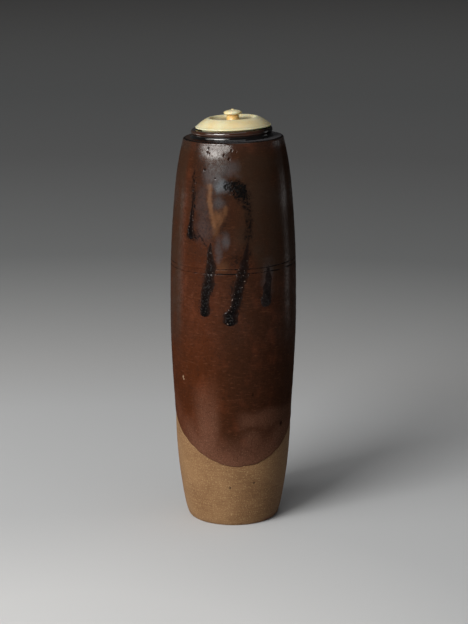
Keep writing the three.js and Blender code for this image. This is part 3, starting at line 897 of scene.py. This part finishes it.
def black_glaze_material(colours):
    material, shade = new_material("black_glaze")
    place = object_place(shade)
    cloud = shade.noise(place, 2.2 * MM, 3.0)
    bubble = shade.noise(place, 0.7 * MM, 2.0, 0.6)
    fleck = shade.noise(place, 0.75 * MM, 1.0)
    thin, faint = shade.mask("thin"), shade.mask("faint")
    tone = shade.layers(
        colours.black_glaze,
        (cloud.smooth(0.5, 0.75) * 0.35, colours.violet_glaze),
        ((thin * (0.6 + 0.6 * cloud)).smaller(1.0), colours.thin_glaze),
        (faint * (0.4 + 0.4 * cloud.smooth(0.35, 0.6)), FAINT_BLACK),
        # Painted glints: pale specks where the runs' bubbles catch the light
        (fleck.smooth(0.71, 0.75) * (0.55 - faint * 0.4), PAINTED_BUBBLE_GLINT),
    )
    sockets = {
        "Base Color": tone,
        "Roughness": 0.5,
        "Specular IOR Level": 0.0,
        "Coat Weight": 0.05 + bubble.smooth(0.5, 0.72) * 0.75,
        "Coat Roughness": 0.08,
        "Normal": shade.bump(bubble + cloud * 0.4, 0.16 * MM, 0.8),
    }
    return finished(material, shade, sockets)


def ivory_material(name, colours, warm):
    """Turned ivory, as yellow as the warmth says."""
    material, shade = new_material(name)
    place = object_place(shade)
    cloud = shade.noise(place, 4 * MM, 3.0)
    strands = shade.noise(shade.stretched(place, 1.0, 0.2), 0.5 * MM, 3.0, 0.6, 0.4)
    scuffs = shade.noise(place, 0.25 * MM, 2.0)
    tone = shade.layers(
        colours.ivory,
        ((cloud.smooth(0.3, 0.75) * 0.5 + warm).smaller(1.0), colours.patina),
        (strands.smooth(0.5, 0.75) * 0.22, colours.patina),
        (shade.mask("honey"), colours.honey),
        # Painted shade in the lid's dish, in the rim's groove and round the stem's foot
        (shade.mask("painted_hollow_shade") * (0.6 + 0.4 * scuffs.smooth(0.3, 0.7)), colours.painted_hollow_shade),
    )
    sockets = {
        "Base Color": tone,
        "Roughness": 0.28 + (scuffs - 0.5) * 0.16,
        "IOR": 1.54,
        "Subsurface Weight": 0.35,
        "Subsurface Radius": (1.0, 0.7, 0.4),
        "Subsurface Scale": 2.4 * MM,
        "Normal": shade.bump(strands * 0.5 + scuffs * 0.5, 0.02 * MM, 0.6),
    }
    return finished(material, shade, sockets)


def gold_leaf_material(colours):
    material, shade = new_material("gold_leaf_paper")
    place = object_place(shade)
    wear = shade.noise(place, 2.4 * MM, 4.0, 0.65)
    crease = shade.noise(place, 0.4 * MM, 3.0, 0.7, 0.6)
    leaf = wear.smooth(0.3, 0.44)
    tone = shade.layers(colours.paper, (leaf, colours.gold_leaf), (crease.smooth(0.6, 0.75) * 0.4, WORN_GOLD))
    sockets = {
        "Base Color": tone,
        "Metallic": leaf * 0.9,
        "Roughness": 0.62 - leaf * 0.26 + crease * 0.1,
        "Normal": shade.bump(crease + wear * 0.5, 0.05 * MM, 0.7),
    }
    return finished(material, shade, sockets)


def floor_material(stage):
    """A floor that pales towards the front and dims behind, measured from the spot where the light is strongest."""
    material, shade = new_material("studio_floor")
    bright_spot = (-0.05, -0.15, 0.0)
    aside = shade.node("ShaderNodeVectorMath", {"operation": "SUBTRACT"}, {0: object_place(shade), 1: bright_spot})
    reach = shade.node("ShaderNodeVectorMath", {"operation": "LENGTH"}, {0: aside}, output=1)
    stops = (
        (0.035, stage.floor_front),
        (0.075, stage.floor),
        (0.14, stage.floor),
        (0.175, stage.floor_behind),
        (0.285, stage.floor_dim),
        (0.44, stage.floor_far),
        (0.58, stage.floor_dim),
        (0.92, stage.floor_end),
    )
    tone = shade.node("ShaderNodeValToRGB", {"stops": stops}, {"Fac": reach * 0.5})
    return finished(material, shade, {"Base Color": tone, "Roughness": 0.9, "Specular IOR Level": 0.1})


# Operators


class ChaireOperator:
    """What the operators share."""

    bl_options = {"REGISTER", "UNDO"}

    @classmethod
    def poll(cls, context):
        return context.scene is not None


class CHAIRE_OT_clay_jar(ChaireOperator, Operator):
    """Throw the clay jar, bare at its foot and inside"""

    bl_idname = "chaire.clay_jar"
    bl_label = "Clay jar"

    def execute(self, context):
        jar = Jar(context.scene)
        rings = Rings(CLAY_COLUMNS, 1.2)
        azimuth = rings.azimuth
        line = jar.glaze_line(azimuth) - jar.glaze.fired_gap
        self.bare_foot(jar, rings, line)
        bare_rings = len(rings.radii)
        self.under_glaze(jar, rings, line)
        self.inside(jar, rings)
        rows = jar.place(azimuth, *rings.arrays())
        points, faces = skin(rows, start=(0, 0, 0.12 * MM), end=(0, 0, jar.sizes.floor_thickness))
        height = rows[:, :, 2]
        outside = (np.arange(len(rows)) < bare_rings)[:, None]
        edge = 1 - smooth_step(0.4 * MM, 2.4 * MM, height)
        flash = np.exp(-((turned_away(azimuth, 52) / 0.35) ** 2))
        flash = flash + 0.5 * np.exp(-((turned_away(azimuth, -140) / 0.4) ** 2))
        painted = {
            "scorch": outside * edge * flash * grain(azimuth, height, 60, 1.2 * MM, 21) * 0.9,
            "speck": outside * jar.marks(azimuth, height, CLAY_SPECKS),
            # Painted shade on the bare clay's right side, away from the light
            "iron": outside * 0.3 * window(np.degrees(azimuth), 20, 66, 100, 130),
        }
        material = clay_material(context.scene.chaire_jar_colours)
        new_piece("thrown_clay_jar", points, faces, "jar", "clay_body", material, painted)
        return {"FINISHED"}

    def bare_foot(self, jar, rings, line):
        """Under the foot, round its edge, and up the bare wall to the glaze."""
        sizes, relief, azimuth = jar.sizes, jar.glaze.relief, rings.azimuth
        foot_radius = jar.outline(0) - relief
        for radius in np.linspace(0.03, 1, 26)[:-1] * foot_radius:
            rise = smooth_step(foot_radius, foot_radius - 1.5 * MM, radius) * sizes.foot_rise
            spiral = 0.5 + 0.5 * np.cos(FULL_TURN * radius / (1.25 * MM) + azimuth)
            rings.add(radius, rise * (0.55 + 0.45 * spiral))
        for height in FOOT_RINGS:
            rings.add(jar.outline(height) - relief, height)
        for share in np.linspace(0, 1, 58)[1:]:
            height = FOOT_RINGS[-1] + (line - FOOT_RINGS[-1]) * share
            depth = 0.5 * jar.throwing(azimuth, height) * smooth_step(1 * MM, 5 * MM, height)
            depth = depth + sizes.pit_depth * jar.marks(azimuth, height, CLAY_SPECKS)
            rings.add(jar.outline(height) - relief - depth, height)

    def under_glaze(self, jar, rings, line):
        """Up the wall under the glaze, and over the shoulder and the lip."""
        for share in np.linspace(0, 1, 26):
            height = line + (jar.corner_height - line) * share
            rings.add(jar.outline(height) - jar.fired_inset - HIDDEN_SETBACK, height)
        rings.follow(jar.neck_profile(jar.fired_inset, 0.6 * MM))

    def inside(self, jar, rings):
        """Down the bore, along the ceiling, down the wall with its finger marks, and over the floor."""
        sizes, relief, azimuth = jar.sizes, jar.glaze.relief, rings.azimuth
        bare_top = jar.mouth_glaze_end - jar.glaze.fired_gap
        bore = jar.mouth_radius + relief
        rings.add(jar.mouth_radius + jar.fired_inset, bare_top)
        for height in np.linspace(bare_top, jar.ceiling, 8):
            rings.add(bore + 0.1 * MM * grain(azimuth, height, 9, MM, 17), height)
        inset = relief + sizes.wall_thickness
        reach, rise = jar.outline(jar.wall_top) - inset - bore, jar.ceiling - jar.wall_top
        for turn in np.linspace(0, 1, 7)[1:-1] * QUARTER_TURN:
            rings.add(bore + reach * math.sin(turn), jar.wall_top + rise * math.cos(turn))
        wall_bottom = sizes.floor_thickness + sizes.floor_corner
        for height in np.linspace(jar.wall_top, wall_bottom, 90):
            finger = sizes.finger_swing * np.sin(FULL_TURN * height / sizes.finger_pitch - azimuth)
            rings.add(jar.outline(height) - inset + finger, height)
        middle = jar.outline(wall_bottom) - inset - sizes.floor_corner
        for turn in np.linspace(0, QUARTER_TURN, 9)[1:]:
            height = wall_bottom - sizes.floor_corner * math.sin(turn)
            rings.add(middle + sizes.floor_corner * math.cos(turn), height)
        for radius in np.linspace(1, 0.04, 16)[1:] * middle:
            swirl = sizes.swirl_swing * np.sin(FULL_TURN * radius / (3.5 * MM) + azimuth) * radius / middle
            rings.add(radius, sizes.floor_thickness + swirl)


class CHAIRE_OT_brown_glaze(ChaireOperator, Operator):
    """Dip the jar in the brown iron glaze"""

    bl_idname = "chaire.brown_glaze"
    bl_label = "Brown glaze"

    def execute(self, context):
        jar = Jar(context.scene)
        rings = Rings(GLAZE_COLUMNS, 1.6)
        azimuth = rings.azimuth
        line = jar.glaze_line(azimuth)
        self.outer_face(jar, rings, line)
        outer_rings = len(rings.radii)
        self.inner_face(jar, rings, line)
        radii, heights = rings.arrays()
        points, faces = skin(jar.place(azimuth, radii, heights), joined=True)
        outside = (np.arange(len(radii)) < outer_rings)[:, None]
        turned = np.degrees(turned_away(azimuth, 0))
        painted = {name: outside * mask for name, mask in self.wall_masks(jar, azimuth, turned, heights, line).items()}
        groove, neck = self.neck_masks(jar, turned, radii, heights)
        # The groove round the neck is black glaze; the lip's top under the lid gets painted shade
        painted["soot"] = np.maximum(painted["soot"] * (1 - neck), outside * groove)
        painted["neck"] = outside * neck
        material = brown_glaze_material(context.scene.chaire_jar_colours)
        new_piece("brown_glaze", points, faces, "jar", "brown_glaze_coat", material, painted)
        return {"FINISHED"}

    def outer_face(self, jar, rings, line):
        """Round the dipped edge, up the wall, over the shoulder and the lip, and down inside the mouth."""
        sizes, glaze, azimuth = jar.sizes, jar.glaze, rings.azimuth
        for turn in np.linspace(0, QUARTER_TURN, 6):
            height = line + glaze.edge_round * (1 - math.cos(turn))
            rings.add(jar.glaze_face(azimuth, height) - glaze.edge_round * (1 - math.sin(turn)), height)
        start = line + glaze.edge_round
        level = (glaze.line_height + glaze.line_swing + sizes.waist_height) / 2
        slanting = [start + (level - start) * share for share in np.linspace(0, 1, 88)[1:]]
        waist_top = sizes.waist_height + sizes.waist_line_spacing + sizes.waist_line_width
        waist_bottom = sizes.waist_height - sizes.waist_line_width
        stretches = (
            (level, waist_bottom, 0.6 * MM),
            (waist_bottom, waist_top, 0.14 * MM),
            (waist_top, CALM_SHOULDER, 0.5 * MM),
            (CALM_SHOULDER, jar.corner_height, 0.32 * MM),
        )
        upright = [np.linspace(low, high, round((high - low) / step) + 1)[1:] for low, high, step in stretches]
        for height in (*slanting, *np.concatenate(upright)):
            rings.add(jar.glaze_face(azimuth, height), height)
        rings.follow(jar.neck_profile(jar.face_inset, 0.24 * MM))
        for height in np.linspace(rings.heights[-1][0], jar.mouth_glaze_end + glaze.edge_round, 8)[1:]:
            rings.add(jar.mouth_radius + jar.face_inset, height)

    def inner_face(self, jar, rings, line):
        """Across the glaze's end in the mouth, and back over the lip and down the clay."""
        glaze = jar.glaze
        rings.add(jar.mouth_radius + glaze.relief, jar.mouth_glaze_end)
        rings.add(jar.mouth_radius + glaze.thickness, jar.mouth_glaze_end)
        rings.follow(jar.neck_profile(glaze.thickness, 1.2 * MM)[::-1])
        for share in np.linspace(1, 0, 18)[1:]:
            height = line + (jar.corner_height - line) * share
            rings.add(jar.outline(height) - glaze.thickness, height)

    def wall_masks(self, jar, azimuth, turned, height, line):
        """Where the glaze changes colour and gloss, by degrees round the jar and millimetres up it."""
        sizes = jar.sizes
        up, above = height / MM, (height - line) / MM
        over_corner = (height - jar.corner_height) / MM
        cloudy = grain(azimuth, height, 20, 7 * MM, 96) - 0.5

        # Black: clouds and streams, a dark seam round the lower ends of the two long runs, and the open waist lines
        soot = laid_over("soot", azimuth, height)
        for node in ("glaze_run_mid_left", "glaze_run_mid_right"):
            route = [(turn, share * sizes.shoulder_height / MM) for turn, share, _ in RUN_ROUTE_SHARES[node]]
            soot = np.maximum(soot, 0.6 * stream(azimuth, height, route, 2.0, 50) * smooth_step(104, 90, up))
        lines = np.clip(jar.waist_lines(azimuth, height) / sizes.waist_line_depth, 0, 1)
        soot = np.maximum(soot, lines**0.85)

        # The second glaze washed thinly over the right of the shoulder and round the back, and painted shade in the
        # same colour on the left flank and over the right side
        wash_end = 97 - 13 * smooth_step(12, 34, turned) + 10 * cloudy
        wash_and_shade = smooth_step(-14, 9, turned + 16 * cloudy) * smooth_step(130, 96, turned)
        wash_and_shade = wash_and_shade * smooth_step(wash_end, wash_end + 11, up) * (1 - 0.75 * smooth_step(129, 137, up + 4 * cloudy))
        painted_limb_shade = window(turned, -140, -110, -60, -50) * smooth_step(56, 82, up + 8 * cloudy)
        right = window(turned, 36, 58, 110, 140)
        veil = window(turned, -54, -42, -8, 4) * smooth_step(94, 106, up + 10 * cloudy)
        rust = laid_over("rust", azimuth, height)
        soot = np.maximum(soot, 0.24 * veil * (1 - rust))

        # Purple-brown: the pool over the dipped edge and the tide mark at the right, and a painted sheen: the paler
        # belly over the pool at the left
        pool_and_sheen = 1 - smooth_step(3.0, 16.0, above + 7 * cloudy)
        pool_and_sheen = 0.9 * pool_and_sheen * (0.25 + 0.75 * window(turned, -66, -30, 130, 178))
        painted_sheen = window(turned, -48, -28, -22, -8) * smooth_step(60, 34, up + 8 * cloudy)
        tide = smooth_step(45.5, 41.5, up + 2 * cloudy) * smooth_step(35.5, 39.5, up + 4 * cloudy)
        tide = tide * window(turned, 0, 14, 90, 120)

        # The shoulder's edge is black and matt, partly the glaze's own dark edge and partly painted shade where the
        # edge mirrors the dark room, and the ledge over it is pale in front with a painted reflection
        corner = smooth_step(0.45, 0.75, over_corner)
        ledge = smooth_step(0.9, 0.98, over_corner) * smooth_step(0.2, 0.05, (height - sizes.shoulder_height) / MM)
        soot = np.maximum(soot, 0.95 * corner * (1 - ledge))
        painted_ledge_reflection = ledge * window(turned, -32, -14, 110, 170)
        return {
            "soot": np.maximum(soot, 0.2 * (1 - smooth_step(0.0, 0.6, above))),
            "wash_and_shade": np.maximum.reduce(np.broadcast_arrays(0.9 * wash_and_shade, 0.4 * veil, 0.8 * painted_limb_shade, 0.4 * right)),
            "rust": rust,
            "milk_and_sheen": np.maximum(laid_over("milk_and_sheen", azimuth, height), painted_ledge_reflection),
            "pool_and_sheen": np.maximum.reduce([pool_and_sheen, 0.8 * painted_sheen, 0.55 * tide]),
            "olive": np.clip(window(turned, -32, 6, 90, 170) + 0.6 * smooth_step(104, 128, up), 0, 1),
            "gloss": self.gloss(turned, up, cloudy) * (1 - 0.8 * corner),
            "pit": np.maximum(jar.marks(azimuth, height, PINHOLES), 0.8 * jar.marks(azimuth, height, DARK_SPECKS)),
            "nick": jar.marks(azimuth, height, LIGHT_SPECKS),
        }

    def gloss(self, turned, up, cloudy):
        """Gloss of the wall: most under the shoulder's edge, less on both sides of the sheen and at the right."""
        gloss = 0.05 + 0.23 * smooth_step(56, 80, up + 8 * cloudy) + 0.72 * smooth_step(108, 124, up + 8 * cloudy)
        gloss = gloss * (0.54 + 1.05 * smooth_step(132.5, 136.3, up + 3 * cloudy))
        left, right = smooth_step(-24, -31, turned + 5 * cloudy), smooth_step(-16, -5, turned + 5 * cloudy)
        gloss = gloss * (1 - 0.7 * np.maximum(left, right) * window(up, 118, 128, 134, 136.5))
        return gloss * (1 - 0.4 * window(turned, 46, 58, 130, 176) * smooth_step(100, 112, up))

    def neck_masks(self, jar, turned, radius, height):
        """How black the groove round the neck is, with painted shade on the lip's top under the lid, and how glossy
        the neck.
        """
        sizes = jar.sizes
        lip_bottom = jar.neck_top - 2 * sizes.lip_round - sizes.lip_band
        ledge_end = jar.neck_x + 0.35 * MM
        above_ledge = smooth_step(sizes.shoulder_height - 0.1 * MM, sizes.shoulder_height + 0.05 * MM, height)
        groove = smooth_step(ledge_end + 0.5 * MM, ledge_end, radius)
        groove = groove * smooth_step(lip_bottom + 0.5 * MM, lip_bottom, height)
        outside = radius > jar.mouth_radius + sizes.lip_width / 2
        # Painted shade on the lip's top, under the lid
        crease = smooth_step(jar.neck_top - 0.3 * MM, jar.neck_top, height)
        glossy_side = 1 - 0.8 * window(turned, 36, 56, 95, 120)
        return above_ledge * np.maximum(0.92 * groove * outside, 0.8 * crease), above_ledge * glossy_side


class CHAIRE_OT_black_runs(ChaireOperator, Operator):
    """Let the second, black glaze run down over the brown"""

    bl_idname = "chaire.black_runs"
    bl_label = "Black runs"

    def execute(self, context):
        jar = Jar(context.scene)
        material = black_glaze_material(context.scene.chaire_jar_colours)
        for number, (node, shares) in enumerate(RUN_ROUTE_SHARES.items()):
            self.run(jar, node, shares, number, material)
        return {"FINISHED"}

    def run(self, jar, node, shares, number, material):
        """One run: a row of points across it for each step of its route, over its face and back under it."""
        glaze, belly_radius = jar.glaze, jar.sizes.belly_radius
        turns, heights, half_widths = catmull_rom(shares, 14).T[:, :, None]
        turns, heights = np.radians(turns), heights * jar.sizes.shoulder_height
        half_widths = half_widths * glaze.run_width / 2
        # The thick end closes in a round drop
        drop = half_widths[0]
        below = np.linspace(1, 0, 9)[:-1, None]
        turns = np.vstack([np.full(below.shape, turns[0]), turns])
        heights = np.vstack([heights[0] - drop * below, heights])
        half_widths = np.maximum(np.vstack([drop * np.sqrt(1 - below**2), half_widths]), 0.06 * MM)
        across = np.sin(np.linspace(-QUARTER_TURN, QUARTER_TURN, RUN_COLUMNS))
        wander = grain(turns + 3 * number, heights, 50, 2.2 * MM, 30 + number) - 0.5
        left, right = (0.8 + 0.4 * grain(side, heights, 7, 1.5 * MM, 35 + number) for side in (-1, 1))
        reach = np.where(across < 0, left, right) * half_widths * across
        azimuth = turns + wander * 0.5 * MM / belly_radius + reach / belly_radius
        low_end = smooth_step(heights.max(), heights.min(), heights)
        swell = np.sqrt(np.clip(1 - across**2, 0, 1)) * (half_widths / half_widths.max()) ** 0.7
        pits = 0.25 * grain(azimuth, heights, 240, 0.55 * MM, 38)
        relief = glaze.run_relief * (0.45 if node == FAINT_RUN else 1)
        lift = relief * swell * (0.3 + 0.7 * low_end) * (1 - pits) - RUN_EDGE_DEPTH
        face = jar.glaze_face(azimuth, heights)
        outer, inner = (jar.place(azimuth, radius, heights) for radius in (face + lift, face - RUN_ROOT_DEPTH))
        rows = np.hstack([outer, inner[:, ::-1]])
        points, faces = skin(rows, start=rows[0].mean(axis=0), end=rows[-1].mean(axis=0))
        thin = np.clip(np.abs(across) ** 3 + 0.35 * (1 - low_end), 0, 1)
        painted = {
            "thin": np.hstack([thin, thin[:, ::-1]]),
            "faint": np.full(len(points), float(node == FAINT_RUN)),
        }
        new_piece("black_" + node, points, faces, "jar", node, material, painted)


class LidShape:
    """Where the lid lies and how it is turned, from its sizes."""

    def __init__(self, scene):
        self.jar = jar = Jar(scene)
        self.sizes = sizes = scene.chaire_lid
        self.radius = jar.lip_radius - sizes.setback
        self.plug_radius = jar.mouth_radius - sizes.plug_clearance
        self.dish_height = sizes.crown_height - sizes.dish_depth
        self.base = jar.neck_top + sizes.seat_gap

    def place(self, rows):
        """Rows turned about the lid's own axis, put where the lid sits on the sloping mouth."""
        x, y, z = np.moveaxis(rows, -1, 0)
        slope, pitch = self.jar.sizes.mouth_slope, self.jar.sizes.mouth_pitch
        x, z = x * math.cos(slope) - z * math.sin(slope), x * math.sin(slope) + z * math.cos(slope)
        y, z = y * math.cos(pitch) + z * math.sin(pitch), z * math.cos(pitch) - y * math.sin(pitch)
        return np.stack([x, y, z + self.base], axis=-1)

    def axis(self, *heights):
        """Points on the lid's axis."""
        return self.place(np.array([[0, 0, height] for height in heights]))


class CHAIRE_OT_lid(ChaireOperator, Operator):
    """Turn the ivory lid"""

    bl_idname = "chaire.lid"
    bl_label = "Lid"

    def execute(self, context):
        lid = LidShape(context.scene)
        sizes, plug = lid.sizes, lid.plug_radius
        rim, crown, dish, dish_floor = sizes.rim_height, sizes.crown_height, sizes.dish_radius, lid.dish_height
        hole = sizes.peg_radius + sizes.peg_clearance
        shoulder, crest, bead = lid.radius - sizes.rim_step, dish + sizes.crest_width, rim / 2
        path = Path(hole, -sizes.plug_depth, 0.3 * MM)
        path.line(plug - sizes.plug_chamfer, -sizes.plug_depth)
        path.curve(plug, -sizes.plug_depth, plug, sizes.plug_chamfer - sizes.plug_depth)
        path.line(plug, -0.1 * MM)
        path.curve(plug, 0, plug + 0.1 * MM, 0)
        path.line(lid.radius - bead, 0)
        for turn in np.linspace(-QUARTER_TURN, QUARTER_TURN, 9)[1:]:
            path.points.append(np.array([lid.radius - bead + bead * math.cos(turn), bead + bead * math.sin(turn)]))
        path.curve(shoulder + 0.1 * MM, rim, shoulder, rim + 0.12 * MM)
        path.curve((shoulder + crest) / 2, (rim + crown) / 2 + rim, crest, crown - 0.03 * MM)
        path.curve(crest - 0.3 * MM, crown, dish + sizes.crest_width / 2, crown - 0.02 * MM)
        path.curve(dish + 0.25 * MM, crown - 0.05 * MM, dish, (crown + dish_floor) / 2)
        path.curve(dish - 0.3 * MM, dish_floor, dish - sizes.crest_width, dish_floor)
        path.line(hole, dish_floor)
        profile = path.array()
        points, faces = skin(lid.place(turned_rows(profile, LID_COLUMNS)), joined=True)
        radius, height = profile[:, :1], profile[:, 1:]
        blotch = grain(level_turns(LID_COLUMNS), height + radius, 17, 1.6 * MM, 15)
        in_dish = smooth_step(dish + 0.3 * MM, dish - 1.3 * MM, radius) * (height > 0)
        in_dish = in_dish * smooth_step(crown - 0.15 * MM, dish_floor, height)
        groove = np.exp(-(((radius - shoulder) / (0.25 * MM)) ** 2)) * (height > bead)
        # Painted shade darkens the dish and the groove by the rim
        painted = {
            "painted_hollow_shade": np.clip(in_dish * (0.6 + 0.4 * blotch) + 0.35 * groove * blotch, 0, 1),
            "honey": 0.25 * blotch * smooth_step(0.6, 0.8, radius / lid.radius) * (radius < shoulder),
        }
        material = ivory_material("lid_ivory", context.scene.chaire_lid_colours, 0.0)
        new_piece("ivory_lid", points, faces, "loose_lid", "lid", material, painted)
        return {"FINISHED"}


class CHAIRE_OT_knob(ChaireOperator, Operator):
    """Turn the knob with its stem and its peg"""

    bl_idname = "chaire.knob"
    bl_label = "Knob"

    def execute(self, context):
        lid = LidShape(context.scene)
        sizes = lid.sizes
        stem_radius, knob_radius, nub_radius = sizes.stem_radius, sizes.knob_radius, sizes.nub_radius
        seat = lid.dish_height + sizes.knob_seat_gap
        under = lid.dish_height + sizes.stem_height
        top = under + sizes.knob_height
        nub_top = top + sizes.nub_height - 0.02 * MM
        path = Path(0.05 * MM, -sizes.plug_depth, 0.16 * MM)
        path.line(sizes.peg_radius, -sizes.plug_depth)
        path.line(sizes.peg_radius, seat)
        path.line(stem_radius + sizes.stem_flare, seat)
        path.curve(stem_radius, seat + sizes.stem_flare, stem_radius, under - sizes.stem_flare)
        path.curve(stem_radius, under, (stem_radius + knob_radius) / 2, under)
        path.curve(knob_radius, under, knob_radius, under + sizes.knob_height / 3)
        path.curve(knob_radius, top - sizes.knob_height / 6, nub_radius, top)
        path.curve(nub_radius, nub_top, 0.05 * MM, nub_top)
        profile = path.array()
        bottom, tip = lid.axis(-sizes.plug_depth, nub_top)
        points, faces = skin(lid.place(turned_rows(profile, KNOB_COLUMNS)), start=bottom, end=tip)
        radius, height = profile[:, :1], profile[:, 1:]
        blotch = grain(level_turns(KNOB_COLUMNS), height + radius, 9, 0.9 * MM, 16)
        stem = smooth_step(under + 0.35 * MM, under - 0.1 * MM, height) * (height > 0)
        nub = smooth_step(nub_radius + 0.5 * MM, nub_radius, radius) * (height > under)
        corner = smooth_step(seat + 0.5 * MM, seat, height) * (height > 0)
        # Painted shade darkens the corner where the stem meets the dish
        painted = {
            "honey": np.clip(stem * (0.7 + 0.3 * blotch) + 0.25 * nub, 0, 1),
            "painted_hollow_shade": 0.5 * corner * blotch,
        }
        material = ivory_material("knob_ivory", context.scene.chaire_lid_colours, 0.08)
        new_piece("ivory_knob", points, faces, "loose_lid", "lid_knob", material, painted)
        return {"FINISHED"}


class CHAIRE_OT_lining(ChaireOperator, Operator):
    """Paste the gold-leafed paper under the lid"""

    bl_idname = "chaire.lining"
    bl_label = "Lining"

    def execute(self, context):
        lid = LidShape(context.scene)
        sizes = lid.sizes
        radius = lid.plug_radius - sizes.plug_chamfer - sizes.lining_margin
        top = -sizes.plug_depth - sizes.paste_gap
        bottom = top - sizes.lining_thickness
        path = Path(0.1 * MM, bottom, 0.35 * MM)
        path.line(radius, bottom)
        path.line(radius, top)
        path.line(0.1 * MM, top)
        rows = turned_rows(path.array(), LINING_COLUMNS)
        x, y, height = np.moveaxis(rows, -1, 0)
        waves = 0.04 * MM * grain(np.arctan2(x, -y), np.hypot(x, y), 11, 2.4 * MM, 19)
        rows[:, :, 2] += np.where(height < (top + bottom) / 2, waves, 0)
        start, end = lid.axis(bottom + 0.02 * MM, top)
        points, faces = skin(lid.place(rows), start=start, end=end)
        material = gold_leaf_material(context.scene.chaire_lid_colours)
        new_piece("gold_leaf_lining", points, faces, "loose_lid", "lid_lining", material)
        return {"FINISHED"}


class CHAIRE_OT_stage(ChaireOperator, Operator):
    """Set up the floor, the lights and the camera"""

    bl_idname = "chaire.stage"
    bl_label = "Stage"

    def execute(self, context):
        scene = context.scene
        stage = scene.chaire_stage
        self.floor(stage)
        for name, place in LAMPS.items():
            self.lamp(scene, name, getattr(stage, name), *place)
        self.world(scene, stage)
        self.camera(scene, stage)
        scene.view_settings.view_transform = "Standard"
        return {"FINISHED"}

    def floor(self, stage):
        radii = np.concatenate([[0.02, 0.1, 0.3], np.linspace(0.6, 7, 24)])
        rows = turned_rows(np.stack([radii, 0 * radii], axis=-1), FLOOR_COLUMNS)
        points, faces = skin(rows[::-1], end=(0, 0, 0))
        new_object("studio_floor", points, faces, floor_material(stage))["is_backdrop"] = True

    def lamp(self, scene, name, radiance, turn, rise, distance, size, tint):
        """A soft rectangular light that faces the jar's middle, hidden from the camera."""
        data = bpy.data.lights.new(name, "AREA")
        data.shape = "RECTANGLE"
        data.size, data.size_y = size
        data.energy = radiance * math.pi * size[0] * size[1]
        data.color = tint
        lamp = bpy.data.objects.new(name, data)
        turn, rise = math.radians(turn), math.radians(rise)
        out = Vector((math.sin(turn) * math.cos(rise), -math.cos(turn) * math.cos(rise), math.sin(rise)))
        lamp.location = Vector((0, 0, scene.chaire_jar.shoulder_height / 2)) + out * distance
        lamp.rotation_euler = out.to_track_quat("Z", "Y").to_euler()
        lamp.visible_camera = False
        scene.collection.objects.link(lamp)

    def world(self, scene, stage):
        """Dim light all round, with the backdrop where the camera or a reflection would show it."""
        world = bpy.data.worlds.new("studio")
        world.use_nodes = True
        world.node_tree.nodes.clear()
        shade = Shade(world.node_tree)
        camera, glossy, through = (shade.node("ShaderNodeLightPath", output=ray) for ray in (0, 3, 6))
        tone = shade.blend(camera.larger(glossy).larger(through), (stage.room,) * 3, stage.backdrop)
        surface = shade.node("ShaderNodeBackground", None, {"Color": tone, "Strength": 1.0})
        shade.node("ShaderNodeOutputWorld", None, {"Surface": surface})
        scene.world = world

    def camera(self, scene, stage):
        data = bpy.data.cameras.new("camera")
        data.lens = stage.camera_lens
        data.sensor_width = 36
        data.clip_start, data.clip_end = 0.05, 30
        camera = bpy.data.objects.new("camera", data)
        camera.location = (stage.camera_side, -stage.camera_distance, stage.camera_height)
        camera.rotation_euler = (QUARTER_TURN - stage.camera_pitch, 0, 0)
        scene.collection.objects.link(camera)
        scene.camera = camera


OPERATORS = (
    CHAIRE_OT_clay_jar,
    CHAIRE_OT_brown_glaze,
    CHAIRE_OT_black_runs,
    CHAIRE_OT_lid,
    CHAIRE_OT_knob,
    CHAIRE_OT_lining,
    CHAIRE_OT_stage,
)


class CHAIRE_PT_panel(Panel):
    """The steps that make the tea caddy"""

    bl_label = "Chaire tea caddy"
    bl_idname = "CHAIRE_PT_panel"
    bl_space_type = "VIEW_3D"
    bl_region_type = "UI"
    bl_category = "Chaire"

    def draw(self, context):
        for operator in OPERATORS:
            self.layout.operator(operator.bl_idname)


def register():
    for cls in (*GROUPS.values(), *OPERATORS, CHAIRE_PT_panel):
        bpy.utils.register_class(cls)
    for name, group in GROUPS.items():
        setattr(bpy.types.Scene, name, PointerProperty(type=group))


def unregister():
    for name in GROUPS:
        delattr(bpy.types.Scene, name)
    for cls in reversed((*GROUPS.values(), *OPERATORS, CHAIRE_PT_panel)):
        bpy.utils.unregister_class(cls)


def main():
    register()
    for operator in OPERATORS:
        module, name = operator.bl_idname.split(".")
        getattr(getattr(bpy.ops, module), name)()
    boxes = {"cad": CAD_BOX, "visual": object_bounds()}
    sizes = {name: [list(corner) for corner in box] for name, box in boxes.items()}


if __name__ == "__main__":
    main()
